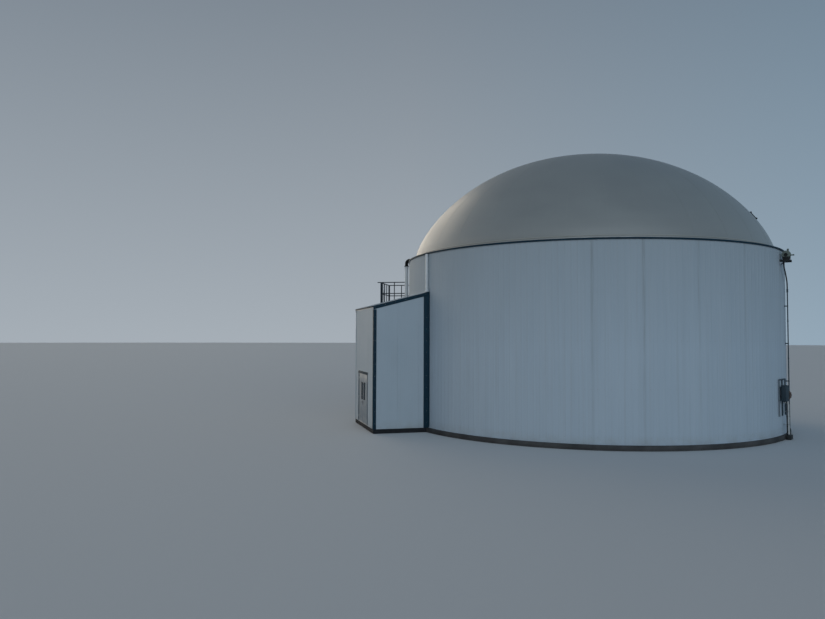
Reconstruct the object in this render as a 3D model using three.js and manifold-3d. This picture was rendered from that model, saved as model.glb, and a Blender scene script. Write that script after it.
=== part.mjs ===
// Biogas digester: a round insulated tank under an inflated gas dome, with a lean-to
// service annex, a railed platform and the blower that keeps the dome's outer skin up.
// Millimetres, +Z up. The origin is on the tank's axis at ground level, and the annex
// stands on the -X side of the tank.
import * as THREE from 'three';
import { mergeVertices } from 'three/addons/utils/BufferGeometryUtils.js';
import Module from 'manifold-3d';

const wasm = await Module();
wasm.setup();

// Clearance between pieces that rest on or against each other.
const GAP = 0.3;

// How far shapes that are joined into one piece sink into each other.
const BITE = 1;

// Tank
const CLADDING_RADIUS = 8260;
const CLADDING_THICKNESS = 17;
const TANK_INNER_RADIUS = 7925;
const FOUNDATION_RADIUS = 8390;
const FOUNDATION_HEIGHT = 180;
const WALL_TOP = 7380;
const WALL_SEGMENTS = 8;
const CLADDING_SEGMENTS = 4;
const FACETS = 72;
const RIM_TOP = 7440;
const RIM_INNER_RADIUS = 7880;
const RIM_OUTER_RADIUS = 8288;

// Gas dome: a superellipse turned about the tank's axis, leaning a little towards the annex.
const DOME_RADIUS = 7950;
const DOME_HEIGHT = 4785;
const DOME_BASE = 7412;
const DOME_RADIAL_POWER = 2.15;
const DOME_VERTICAL_POWER = 1.47;
const DOME_THICKNESS = 40;
const DOME_GORES = 4;
const DOME_LEAN = 50;
const DOME_ROWS = 11;
const CROWN_RADIUS = 4000;
const CROWN_ROWS = 6;

// Annex
const ANNEX_FRONT = -10450;
const ANNEX_RIGHT = -1630;
const ANNEX_LEFT = 2300;
const ANNEX_WALL = 100;
const ROOF_SLOPE = 0.262;
const ROOF_TOP_AT_FRONT = 5190;
const ROOF_THICKNESS = 100;
const ROOF_OVERHANG = 20;
const TRIM_THICKNESS = 15;
const TRIM_WIDTH = 115;
const RAKE_HEIGHT = 145;
const RAKE_BELOW_ROOF_TOP = 12;
const FASCIA_HEIGHT = 60;
const JUNCTION_TRIM_WIDTH = 250;

// Double door in the annex's front wall
const DOORWAY_RIGHT = -430;
const DOORWAY_LEFT = 1470;
const DOORWAY_SILL = 205;
const DOORWAY_HEAD = 2300;
const FRAME_WIDTH = 50;
const CASING_WIDTH = 80;
const CASING_PROUD = 15;
const HEAD_FLASHING_LIFT = 6;
const HEAD_FLASHING_THICKNESS = 12;
const LEAF_THICKNESS = 45;
const LEAF_RECESS = 5;
const LEAF_CLEARANCE = 6;
const LEAF_MEETING_GAP = 12;
const HINGE_OFFSET = 13;
const KNUCKLE_RADIUS = 8;
const KNUCKLE_LENGTH = 55;
const HINGE_LEAF_WIDTH = 40;
const HINGE_PLATE = 4;
const HINGE_WEB = 6;
const HINGE_HEIGHTS = [420, 1250, 2080];
const WINDOW_WIDTH = 250;
const WINDOW_HEIGHT = 690;
const WINDOW_SILL = 1220;
const WINDOW_FROM_MEETING = 110;
const GLASS_THICKNESS = 10;
const HANDLE_HEIGHT = 1080;
const HANDLE_INSET = 60;
const HANDLE_PLATE_WIDTH = 40;
const HANDLE_PLATE_ABOVE = 60;
const HANDLE_PLATE_BELOW = 110;
const HANDLE_PLATE_THICKNESS = 8;
const LEVER_THICKNESS = 18;
const LEVER_LENGTH = 120;
const LEVER_STANDOFF = 62;

// Service platform beside the annex
const PLATFORM_ANGLE = 155.5;
const PLATFORM_HALF_WIDTH = 980;
const PLATFORM_OUTER = 9600;
const DECK_TOP = 5430;
const DECK_THICKNESS = 60;
const RAIL_TOP = 6530;
const RAIL_SIZE = 42;
const TOE_RAIL_HEIGHT = 70;
const FRONT_POSTS = [-1, -0.45, 0.08, 0.62, 1];
const RAIL_END_GAP = 20;
const RAIL_STUB = 140;
const BRACKET_DROP = 900;
const BRACKET_WIDTH = 60;
const BRACKET_SHARE = 0.75;
const BRACKET_SHORT_OF_EDGE = 100;
const LADDER_CENTRE = 340;
const LADDER_WIDTH = 480;
const RUNG_SPACING = 300;
const RUNG_SIZE = 28;

// Pipes on the tank's left
const DOWNPIPE_ANGLE = 163.2;
const DOWNPIPE_REACH = 8382;
const DOWNPIPE_RADIUS = 80;
const DOWNPIPE_TOP = 7225;
const ELBOW_RADIUS = 56;
const ELBOW_BEND = 150;
const ELBOW_RISE = 305;
const BEND_STEPS = 6;
const ELBOW_END_GAP = 34;
const ELBOW_FLANGE_RADIUS = 95;
const ELBOW_FLANGE_HEIGHT = 40;
const RISER_ANGLE = 190.4;
const RISER_RADIUS = 26;
const RISER_STANDOFF = 2;

// Blower, its hose and pipes, and the control cabinet on the tank's right
const SHELF_ANGLE = 305.5;
const SHELF_HALF_WIDTH = 200;
const SHELF_DEPTH = 360;
const SHELF_BOTTOM = 6930;
const SHELF_THICKNESS = 52;
const GUSSET_DROP = 110;
const GUSSET_THICKNESS = 12;
const GUSSET_INSET = 20;
const GUSSET_FOOT = 40;
const GUSSET_REACH = 0.6;
const BLOWER_REACH = 8470;
const DRUM_RADIUS = 165;
const DRUM_WIDTH = 170;
const DRUM_OFFSET = -30;
const DRUM_LIFT = 25;
const MOTOR_RADIUS = 85;
const MOTOR_LENGTH = 190;
const MOTOR_OFFSET = 110;
const FOOT_HALF_LENGTH = 110;
const FOOT_RIGHT = -120;
const FOOT_LEFT = 60;
const FOOT_HEIGHT = 90;
const INLET_RADIUS = 32;
const INLET_OFFSET = 60;
const INLET_RISE = 70;
const OUTLET_RADIUS = 24;
const OUTLET_LENGTH = 190;
const OUTLET_OFFSET = 20;
const HOSE_RADIUS = 25;

// The hose's centre line: degrees past the shelf's angle, reach, and drop below the shelf.
const HOSE_ROUTE = [
  [0, 8375, 0.3],
  [0, 8375, 50],
  [0, 8375, 105],
  [0.08, 8375, 180],
  [0.32, 8375, 250],
  [0.71, 8375, 311],
  [1.22, 8375, 369],
  [1.75, 8374, 428],
  [2.29, 8373, 486],
  [2.83, 8371, 543],
  [3.37, 8369, 599],
  [3.9, 8367, 653],
  [4.43, 8365, 705],
  [4.95, 8363, 759],
  [5.36, 8361, 818],
  [5.61, 8360, 887],
  [5.7, 8360, 957],
  [5.7, 8360, 1005],
  [5.7, 8360, 1049.7],
];
const CONDUIT_ANGLE = 311.2;
const CONDUIT_REACH = 8360;
const CONDUIT_RADIUS = 22;
const CONDUIT_TOP = 5880;
const COUPLER_RADIUS = 37;
const COUPLER_LENGTH = 130;
const DRAIN_ANGLE = 306.1;
const DRAIN_REACH = 8428;
const DRAIN_RADIUS = 28;
const DRAIN_TOP = 1400;
const DRAIN_BEND = 80;
const DRAIN_BOX_ANGLE = 305;
const DRAIN_BOX_WIDTH = 400;
const DRAIN_BOX_DEPTH = 170;
const DRAIN_BOX_HEIGHT = 170;
const CABINET_CONDUIT_RADIUS = 20;
const CABINET_CONDUIT_REACH = 8430;
const CABINET_CONDUIT_OFFSET = 30;
const CABINET_ANGLE = 304;
const CABINET_WIDTH = 500;
const CABINET_DEPTH = 190;
const CABINET_BOTTOM = 1470;
const CABINET_TOP = 2070;
const STRUT_SIZE = 41;
const STRUT_SPACING = 460;
const STRUT_BOTTOM = 910;
const STRUT_TOP = 2330;
const BAR_INSET = 60;

// Sight port on the dome
const PORT_ANGLE = 312.5;
const PORT_ROW = 4;
const PORT_RADIUS = 205;
const PORT_HEIGHT = 28;
const PORT_LUG = 60;
const PORT_LUG_HEIGHT = 62;

const paint = (colour, roughness, metalness) =>
  new THREE.MeshStandardMaterial({ color: colour, roughness, metalness });

const concrete = paint(0x8f8a83, 0.9, 0.0);
const claddingWhite = paint(0xb9c2c6, 0.5, 0.3);
const darkTrim = paint(0x122a33, 0.5, 0.3);
const membrane = paint(0x8d8a84, 0.7, 0.0);
const sidingWhite = paint(0xbfc7ca, 0.5, 0.3);
const roofWhite = paint(0xc9cdcd, 0.5, 0.3);
const doorWhite = paint(0xb4babd, 0.5, 0.3);
const glass = paint(0x1c2830, 0.1, 0.0);
const galvanised = paint(0x9aa0a2, 0.45, 0.8);
const blackPlastic = paint(0x14171a, 0.6, 0.0);
const whitePlastic = paint(0xd5d6d2, 0.5, 0.0);
const castDark = paint(0x2a2d2f, 0.6, 0.5);
const steelGrey = paint(0x4e565c, 0.5, 0.6);

const digester = new THREE.Group();

function add(group, name, geometry, material) {
  const mesh = new THREE.Mesh(geometry, material);
  mesh.name = name;
  group.add(mesh);
  return mesh;
}

// A group turned about the tank's axis: local x runs outwards and local y to the left.
function turnedGroup(degrees) {
  const group = new THREE.Group();
  group.rotation.z = THREE.MathUtils.degToRad(degrees);
  digester.add(group);
  return group;
}

// Merges shared corners and drops the empty triangles left at a turned shape's poles.
function closedGeometry(geometry) {
  const bare = geometry.clone();
  bare.deleteAttribute('normal');
  bare.deleteAttribute('uv');
  const merged = mergeVertices(bare, 1e-4);
  const index = merged.index.array;
  const kept = [];
  for (let i = 0; i < index.length; i += 3) {
    const [a, b, c] = [index[i], index[i + 1], index[i + 2]];
    if (a !== b && b !== c && c !== a) kept.push(a, b, c);
  }
  merged.setIndex(kept);
  return merged;
}

function toManifold(geometry) {
  const closed = closedGeometry(geometry);
  return new wasm.Manifold(new wasm.Mesh({
    numProp: 3,
    vertProperties: new Float32Array(closed.attributes.position.array),
    triVerts: new Uint32Array(closed.index.array),
  }));
}

function fromManifold(solid) {
  const mesh = solid.getMesh();
  const geometry = new THREE.BufferGeometry();
  geometry.setAttribute('position', new THREE.BufferAttribute(mesh.vertProperties, 3));
  geometry.setIndex(new THREE.BufferAttribute(mesh.triVerts, 1));
  return geometry;
}

function joined(geometries) {
  return fromManifold(geometries.map(toManifold).reduce((whole, next) => whole.add(next)));
}

function block(x0, x1, y0, y1, z0, z1) {
  const geometry = new THREE.BoxGeometry(x1 - x0, y1 - y0, z1 - z0);
  return geometry.translate((x0 + x1) / 2, (y0 + y1) / 2, (z0 + z1) / 2);
}

function upright(radius, x, y, z0, z1, sides) {
  const geometry = new THREE.CylinderGeometry(radius, radius, z1 - z0, sides);
  return geometry.rotateX(Math.PI / 2).translate(x, y, (z0 + z1) / 2);
}

function shapeOf(points) {
  return new THREE.Shape(points.map(([x, y]) => new THREE.Vector2(x, y)));
}

// A plan outline raised from z0 to z1.
function raised(points, z0, z1) {
  const geometry = new THREE.ExtrudeGeometry(shapeOf(points), { depth: z1 - z0, bevelEnabled: false });
  return geometry.translate(0, 0, z0);
}

// A side outline of (x, z) points, given thickness from y0 to y1.
function sideProfile(points, y0, y1) {
  const geometry = new THREE.ExtrudeGeometry(shapeOf(points), { depth: y1 - y0, bevelEnabled: false });
  return geometry.rotateX(Math.PI / 2).translate(0, y1, 0);
}

// A front outline of (y, z) points with an optional hole, given thickness from x0 to x1.
function frontProfile(points, x0, x1, hole = null) {
  const shape = shapeOf(points);
  if (hole) shape.holes.push(shapeOf(hole));
  const geometry = new THREE.ExtrudeGeometry(shape, { depth: x1 - x0, bevelEnabled: false });
  const turn = new THREE.Matrix4().makeBasis(
    new THREE.Vector3(0, 1, 0),
    new THREE.Vector3(0, 0, 1),
    new THREE.Vector3(1, 0, 0),
  );
  return geometry.applyMatrix4(turn).translate(x0, 0, 0);
}

function rectangle(u0, u1, v0, v1) {
  return [[u0, v0], [u1, v0], [u1, v1], [u0, v1]];
}

function arcPoints(radius, startDegrees, endDegrees, steps) {
  const points = [];
  for (let i = 0; i <= steps; i += 1) {
    const angle = THREE.MathUtils.degToRad(startDegrees + ((endDegrees - startDegrees) * i) / steps);
    points.push([radius * Math.cos(angle), radius * Math.sin(angle)]);
  }
  return points;
}

// One of `count` equal curved pieces of a round wall, in plan.
function wallPiece(inner, outer, index, count) {
  const span = 360 / count;
  const half = THREE.MathUtils.radToDeg(GAP / 2 / inner);
  const steps = FACETS / count;
  const start = index * span + half;
  const end = (index + 1) * span - half;
  return [...arcPoints(outer, start, end, steps), ...arcPoints(inner, end, start, steps)];
}

// How far out the faceted cladding reaches behind a flat piece at this angle.
function claddingReach(degrees, halfWidth) {
  const facet = 360 / FACETS;
  const spread = THREE.MathUtils.radToDeg(halfWidth / CLADDING_RADIUS);
  const flat = CLADDING_RADIUS * Math.cos(THREE.MathUtils.degToRad(facet / 2));
  let reach = flat;
  for (let i = 0; i < FACETS; i += 1) {
    const away = Math.abs(i * facet - degrees);
    if (away <= spread + facet / 2) {
      reach = Math.max(reach, CLADDING_RADIUS * Math.cos(THREE.MathUtils.degToRad(away)));
    }
  }
  return reach;
}

// Where a faceted ring stands, as an x, for a given y on the annex's side of the tank.
function ringX(radius, y) {
  const facet = (2 * Math.PI) / FACETS;
  const low = Math.floor(Math.asin(y / radius) / facet) * facet;
  const share = (y / radius - Math.sin(low)) / (Math.sin(low + facet) - Math.sin(low));
  return -radius * (Math.cos(low) + (Math.cos(low + facet) - Math.cos(low)) * share);
}

// The stretch of a faceted ring between two y values on the annex's side of the tank.
function ringStretch(radius, y0, y1) {
  const facet = (2 * Math.PI) / FACETS;
  const points = [[ringX(radius, y0), y0]];
  for (let k = Math.ceil(Math.asin(y0 / radius) / facet); radius * Math.sin(k * facet) < y1; k += 1) {
    points.push([-radius * Math.cos(k * facet), radius * Math.sin(k * facet)]);
  }
  points.push([ringX(radius, y1), y1]);
  return points;
}

function roofTop(x) {
  return ROOF_TOP_AT_FRONT + ROOF_SLOPE * (x - ANNEX_FRONT);
}

function roofUnderside(x) {
  return roofTop(x) - ROOF_THICKNESS;
}

// Tank: foundation, insulated concrete wall, outer cladding and the flashing round its top

function addTank() {
  const slab = upright(FOUNDATION_RADIUS, 0, 0, 0, FOUNDATION_HEIGHT, FACETS);
  add(digester, 'foundation_slab', slab, concrete);
  const foot = FOUNDATION_HEIGHT + GAP;
  const wallOuter = CLADDING_RADIUS - CLADDING_THICKNESS - GAP;
  for (let i = 0; i < WALL_SEGMENTS; i += 1) {
    const plan = wallPiece(TANK_INNER_RADIUS, wallOuter, i, WALL_SEGMENTS);
    add(digester, `tank_wall_${i + 1}`, raised(plan, foot, WALL_TOP), concrete);
  }
  const skinInner = CLADDING_RADIUS - CLADDING_THICKNESS;
  for (let i = 0; i < CLADDING_SEGMENTS; i += 1) {
    const plan = wallPiece(skinInner, CLADDING_RADIUS, i, CLADDING_SEGMENTS);
    add(digester, `cladding_${i + 1}`, raised(plan, foot, WALL_TOP), claddingWhite);
  }
  const bottom = WALL_TOP + GAP;
  const profile = [
    new THREE.Vector2(RIM_INNER_RADIUS, bottom),
    new THREE.Vector2(RIM_OUTER_RADIUS, bottom),
    new THREE.Vector2(RIM_OUTER_RADIUS, RIM_TOP),
    new THREE.Vector2(RIM_INNER_RADIUS, RIM_TOP),
    new THREE.Vector2(RIM_INNER_RADIUS, bottom),
  ];
  const ring = new THREE.LatheGeometry(profile, FACETS).rotateX(Math.PI / 2);
  add(digester, 'rim_flashing', closedGeometry(ring), darkTrim);
}

// Dome: four curved gores from the rim to a round crown

// Radius and height of the outer skin at an angle up the superellipse, 0 at the rim.
function domePoint(turn) {
  const r = DOME_RADIUS * Math.cos(turn) ** (2 / DOME_RADIAL_POWER);
  const z = DOME_BASE + DOME_HEIGHT * Math.sin(turn) ** (2 / DOME_VERTICAL_POWER);
  return [r, z];
}

const footTurn = Math.asin(((RIM_TOP + GAP - DOME_BASE) / DOME_HEIGHT) ** (DOME_VERTICAL_POWER / 2));
const crownTurn = Math.acos((CROWN_RADIUS / DOME_RADIUS) ** (DOME_RADIAL_POWER / 2));

// A row's point on the outer face, or set inwards along the skin's own slope.
function domeRow(turn, inset) {
  const [r, z] = domePoint(turn);
  if (inset === 0) return [r, z];
  const [r1, z1] = domePoint(turn + 0.01);
  const length = Math.hypot(r - r1, z1 - z);
  return [r - (inset * (z1 - z)) / length, z - (inset * (r - r1)) / length];
}

function goreRow(row, inset) {
  const turn = footTurn + ((crownTurn - footTurn) * row) / DOME_ROWS;
  const [r, z] = domeRow(turn, inset);
  return row === 0 ? [r, RIM_TOP + GAP] : [r, z];
}

function goreGeometry(startDegrees, endDegrees) {
  const steps = FACETS / DOME_GORES;
  const around = steps + 1;
  const layer = around * (DOME_ROWS + 1);
  const positions = [];
  for (const inset of [0, DOME_THICKNESS]) {
    for (let row = 0; row <= DOME_ROWS; row += 1) {
      const [r, z] = goreRow(row, inset);
      const lean = row === 0 ? 0 : DOME_LEAN;
      const arc = arcPoints(r, startDegrees, endDegrees, steps);
      arc.forEach(([x, y]) => positions.push(x - lean, y, z));
    }
  }
  const corners = [];
  const face = (a, b, c, d) => corners.push(a, b, c, a, c, d);
  const at = (side, row, i) => side * layer + row * around + i;
  for (let row = 0; row < DOME_ROWS; row += 1) {
    for (let i = 0; i < steps; i += 1) {
      face(at(0, row, i), at(0, row, i + 1), at(0, row + 1, i + 1), at(0, row + 1, i));
      face(at(1, row, i), at(1, row + 1, i), at(1, row + 1, i + 1), at(1, row, i + 1));
    }
    face(at(0, row, 0), at(0, row + 1, 0), at(1, row + 1, 0), at(1, row, 0));
    face(at(0, row, steps), at(1, row, steps), at(1, row + 1, steps), at(0, row + 1, steps));
  }
  for (let i = 0; i < steps; i += 1) {
    face(at(0, 0, i), at(1, 0, i), at(1, 0, i + 1), at(0, 0, i + 1));
    const top = DOME_ROWS;
    face(at(0, top, i), at(0, top, i + 1), at(1, top, i + 1), at(1, top, i));
  }
  const geometry = new THREE.BufferGeometry();
  geometry.setAttribute('position', new THREE.Float32BufferAttribute(positions, 3));
  geometry.setIndex(corners);
  return geometry;
}

function crownGeometry() {
  const rowTurn = (row) => crownTurn + ((Math.PI / 2 - crownTurn) * row) / CROWN_ROWS;
  const apex = DOME_BASE + DOME_HEIGHT;
  const profile = [new THREE.Vector2(0, apex - DOME_THICKNESS)];
  for (let row = CROWN_ROWS - 1; row >= 0; row -= 1) {
    profile.push(new THREE.Vector2(...domeRow(rowTurn(row), DOME_THICKNESS)));
  }
  for (let row = 0; row < CROWN_ROWS; row += 1) {
    profile.push(new THREE.Vector2(...domeRow(rowTurn(row), 0)));
  }
  profile.push(new THREE.Vector2(0, apex));
  const turned = new THREE.LatheGeometry(profile, FACETS).rotateX(Math.PI / 2);
  return closedGeometry(turned).translate(-DOME_LEAN, 0, 2 * GAP);
}

function addDome() {
  const span = 360 / DOME_GORES;
  const half = THREE.MathUtils.radToDeg(GAP / 2 / CROWN_RADIUS);
  for (let i = 0; i < DOME_GORES; i += 1) {
    const start = span / 2 + i * span;
    add(digester, `dome_gore_${i + 1}`, goreGeometry(start + half, start + span - half), membrane);
  }
  add(digester, 'dome_crown', crownGeometry(), membrane);
}

// A round sight port with a lug above and below, seated square on one flat facet of the dome.
function addDomePort() {
  const [r0, z0] = goreRow(PORT_ROW, 0);
  const [r1, z1] = goreRow(PORT_ROW + 1, 0);
  const flat = Math.cos(Math.PI / FACETS);
  const lean = Math.atan2((r0 - r1) * flat, z1 - z0);
  const disc = upright(PORT_RADIUS, 0, 0, GAP, PORT_HEIGHT, 24);
  const half = PORT_LUG / 2;
  const reach = PORT_RADIUS - half;
  const lugs = [-reach, reach].map((x) => block(x - half, x + half, -half, half, GAP, PORT_LUG_HEIGHT));
  const domeGroup = new THREE.Group();
  domeGroup.position.x = -DOME_LEAN;
  digester.add(domeGroup);
  const group = new THREE.Group();
  group.rotation.z = THREE.MathUtils.degToRad(PORT_ANGLE);
  domeGroup.add(group);
  const mesh = add(group, 'dome_sight_port', joined([disc, ...lugs]), blackPlastic);
  mesh.position.set(((r0 + r1) / 2) * flat, 0, (z0 + z1) / 2);
  mesh.rotation.y = Math.PI / 2 - lean;
}

// Annex: floor slab, insulated panel walls, mono-pitch roof and its dark trims

function addAnnexShell() {
  const inside = ANNEX_FRONT + ANNEX_WALL + GAP;
  const foot = FOUNDATION_HEIGHT + GAP;
  const floorPlan = [
    [ANNEX_FRONT, ANNEX_RIGHT],
    ...ringStretch(FOUNDATION_RADIUS + 2 * GAP, ANNEX_RIGHT, ANNEX_LEFT),
    [ANNEX_FRONT, ANNEX_LEFT],
  ];
  add(digester, 'annex_floor', raised(floorPlan, 0, FOUNDATION_HEIGHT), concrete);

  const frontTop = roofUnderside(ANNEX_FRONT) - GAP;
  const frontPanel = (y0, y1, z0) => block(ANNEX_FRONT, ANNEX_FRONT + ANNEX_WALL, y0, y1, z0, frontTop);
  const openingRight = DOORWAY_RIGHT - FRAME_WIDTH - GAP;
  const openingLeft = DOORWAY_LEFT + FRAME_WIDTH + GAP;
  const openingHead = DOORWAY_HEAD + FRAME_WIDTH + GAP;
  add(digester, 'annex_front_wall_right', frontPanel(ANNEX_RIGHT, openingRight, foot), sidingWhite);
  add(digester, 'annex_front_wall_left', frontPanel(openingLeft, ANNEX_LEFT, foot), sidingWhite);
  const overDoor = frontPanel(openingRight + GAP, openingLeft - GAP, openingHead);
  add(digester, 'annex_front_wall_over_door', overDoor, sidingWhite);

  const sides = [
    ['annex_side_wall_right', ANNEX_RIGHT, ANNEX_RIGHT + ANNEX_WALL],
    ['annex_side_wall_left', ANNEX_LEFT - ANNEX_WALL, ANNEX_LEFT],
  ];
  sides.forEach(([name, y0, y1]) => {
    const end = ringX(CLADDING_RADIUS, Math.abs(y0) < Math.abs(y1) ? y0 : y1) - 2 * GAP;
    const profile = [
      [inside, foot],
      [end, foot],
      [end, roofUnderside(end) - GAP],
      [inside, roofUnderside(inside) - GAP],
    ];
    add(digester, name, sideProfile(profile, y0, y1), sidingWhite);
  });

  const eave = ANNEX_FRONT - ROOF_OVERHANG;
  const roofPlan = [
    [eave, ANNEX_RIGHT],
    ...ringStretch(CLADDING_RADIUS + 2 * GAP, ANNEX_RIGHT, ANNEX_LEFT),
    [eave, ANNEX_LEFT],
  ];
  const shear = new THREE.Matrix4().set(1, 0, 0, 0, 0, 1, 0, 0, ROOF_SLOPE, 0, 1, 0, 0, 0, 0, 1);
  const slab = raised(roofPlan, roofUnderside(0), roofTop(0)).applyMatrix4(shear);
  add(digester, 'annex_roof', slab, roofWhite);
}

function addAnnexTrims() {
  const foot = FOUNDATION_HEIGHT + GAP;
  const rakeTop = (x) => roofTop(x) - RAKE_BELOW_ROOF_TOP;
  const rakeBottom = (x) => rakeTop(x) - RAKE_HEIGHT;
  const eave = ANNEX_FRONT - ROOF_OVERHANG;
  const cornerFront = ANNEX_FRONT - GAP - TRIM_THICKNESS;
  const sides = [
    ['right', ANNEX_RIGHT - GAP, -1],
    ['left', ANNEX_LEFT + GAP, 1],
  ];
  sides.forEach(([side, face, out]) => {
    const outer = face + out * TRIM_THICKNESS;
    const end = ringX(CLADDING_RADIUS, face) - 2 * GAP;
    const rake = [
      [eave, rakeBottom(eave)],
      [end, rakeBottom(end)],
      [end, rakeTop(end)],
      [eave, rakeTop(eave)],
    ];
    const low = Math.min(face, outer);
    const high = Math.max(face, outer);
    add(digester, `annex_rake_trim_${side}`, sideProfile(rake, low, high), darkTrim);

    const inner = face - out * TRIM_WIDTH;
    const corner = [
      [cornerFront, outer],
      [ANNEX_FRONT + TRIM_WIDTH, outer],
      [ANNEX_FRONT + TRIM_WIDTH, face],
      [ANNEX_FRONT - GAP, face],
      [ANNEX_FRONT - GAP, inner],
      [cornerFront, inner],
    ];
    const cornerTop = rakeBottom(cornerFront) - GAP;
    const cornerPaint = side === 'right' ? darkTrim : sidingWhite;
    add(digester, `annex_corner_trim_${side}`, raised(corner, foot, cornerTop), cornerPaint);

    const start = end - JUNCTION_TRIM_WIDTH;
    const junction = [
      [start, foot],
      [end, foot],
      [end, rakeBottom(end) - GAP],
      [start, rakeBottom(start) - GAP],
    ];
    add(digester, `annex_junction_trim_${side}`, sideProfile(junction, low, high), darkTrim);
  });
  const fasciaFront = eave - GAP - TRIM_THICKNESS;
  const fasciaBottom = rakeTop(eave) - FASCIA_HEIGHT;
  const fascia = rectangle(fasciaFront, eave - GAP, fasciaBottom, rakeTop(eave));
  const fasciaRight = ANNEX_RIGHT - GAP - TRIM_THICKNESS;
  const fasciaLeft = ANNEX_LEFT + GAP + TRIM_THICKNESS;
  add(digester, 'annex_eave_fascia', sideProfile(fascia, fasciaRight, fasciaLeft), darkTrim);
}

// Double door: a steel frame with a casing and a head flashing, two hinged leaves with windows,
// and a handle. The leaves are almost flush with the wall.

const leafFace = ANNEX_FRONT + LEAF_RECESS;
const hingeX = leafFace - HINGE_OFFSET;

// The hinge knuckles on one side: `out` is +1 where the leaf runs to the left of its hinge.
function hingeKnuckles(jamb, out, onLeaf) {
  const y = jamb + out * HINGE_OFFSET;
  const strip = (x0, x1, ya, yb, z0, z1) => block(x0, x1, Math.min(ya, yb), Math.max(ya, yb), z0, z1);
  return HINGE_HEIGHTS.flatMap((height) => {
    const z0 = onLeaf ? height + GAP : height - KNUCKLE_LENGTH;
    const z1 = z0 + KNUCKLE_LENGTH;
    const barrel = upright(KNUCKLE_RADIUS, hingeX, y, z0, z1, 12);
    if (onLeaf) {
      const front = leafFace - HINGE_PLATE;
      const web = strip(hingeX, front + BITE, y, y + out * HINGE_WEB, z0, z1);
      const plate = strip(front, leafFace + BITE, y, y + out * HINGE_LEAF_WIDTH, z0, z1);
      return [barrel, web, plate];
    }
    const half = HINGE_WEB / 2;
    return [barrel, strip(hingeX - half, hingeX + half, jamb - out * BITE, y, z0, z1)];
  });
}

function addDoorFrame() {
  const foot = FOUNDATION_HEIGHT + GAP;
  const around = (width) => (
    rectangle(DOORWAY_RIGHT - width, DOORWAY_LEFT + width, foot, DOORWAY_HEAD + width)
  );
  const clear = rectangle(DOORWAY_RIGHT, DOORWAY_LEFT, DOORWAY_SILL, DOORWAY_HEAD);
  const casingFront = ANNEX_FRONT - CASING_PROUD;
  const jambs = frontProfile(around(FRAME_WIDTH), casingFront, ANNEX_FRONT + ANNEX_WALL, clear);
  const casing = frontProfile(around(CASING_WIDTH), casingFront, ANNEX_FRONT - GAP, clear);
  const hinges = [
    ...hingeKnuckles(DOORWAY_RIGHT, 1, false),
    ...hingeKnuckles(DOORWAY_LEFT, -1, false),
  ];
  add(digester, 'door_frame', joined([jambs, casing, ...hinges]), doorWhite);

  const flashingBack = casingFront - GAP;
  const flashing = block(
    flashingBack - HEAD_FLASHING_THICKNESS,
    flashingBack,
    DOORWAY_RIGHT - CASING_WIDTH,
    DOORWAY_LEFT + CASING_WIDTH,
    DOORWAY_HEAD + HEAD_FLASHING_LIFT,
    DOORWAY_HEAD + HEAD_FLASHING_LIFT + CASING_WIDTH,
  );
  add(digester, 'door_head_flashing', flashing, darkTrim);
}

// A window that starts at this y, or its pane when set in by a clearance.
function windowOutline(start, inset) {
  const top = WINDOW_SILL + WINDOW_HEIGHT - inset;
  return rectangle(start + inset, start + WINDOW_WIDTH - inset, WINDOW_SILL + inset, top);
}

function addDoorLeaves() {
  const meeting = (DOORWAY_RIGHT + DOORWAY_LEFT) / 2;
  const z0 = DOORWAY_SILL + LEAF_CLEARANCE;
  const z1 = DOORWAY_HEAD - LEAF_CLEARANCE;
  const back = leafFace + LEAF_THICKNESS;
  const rightStart = DOORWAY_RIGHT + LEAF_CLEARANCE;
  const rightEnd = meeting - LEAF_MEETING_GAP / 2;
  const rightWindow = rightEnd - WINDOW_FROM_MEETING - WINDOW_WIDTH;
  const rightHole = windowOutline(rightWindow, 0);
  const rightLeaf = frontProfile(rectangle(rightStart, rightEnd, z0, z1), leafFace, back, rightHole);
  const rightHinges = hingeKnuckles(DOORWAY_RIGHT, 1, true);
  add(digester, 'door_leaf_right', joined([rightLeaf, ...rightHinges]), doorWhite);

  const leftStart = meeting + LEAF_MEETING_GAP / 2;
  const leftEnd = DOORWAY_LEFT - LEAF_CLEARANCE;
  const leftWindow = leftStart + WINDOW_FROM_MEETING;
  const leftHole = windowOutline(leftWindow, 0);
  const leftLeaf = frontProfile(rectangle(leftStart, leftEnd, z0, z1), leafFace, back, leftHole);
  const leftHinges = hingeKnuckles(DOORWAY_LEFT, -1, true);
  add(digester, 'door_leaf_left', joined([leftLeaf, ...leftHinges]), doorWhite);

  const glassFront = (leafFace + back - GLASS_THICKNESS) / 2;
  const glassBack = glassFront + GLASS_THICKNESS;
  const rightPane = frontProfile(windowOutline(rightWindow, GAP), glassFront, glassBack);
  const leftPane = frontProfile(windowOutline(leftWindow, GAP), glassFront, glassBack);
  add(digester, 'door_window_right', rightPane, glass);
  add(digester, 'door_window_left', leftPane, glass);

  addDoorHandle(leftStart + HANDLE_INSET, leafFace - GAP);
}

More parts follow.
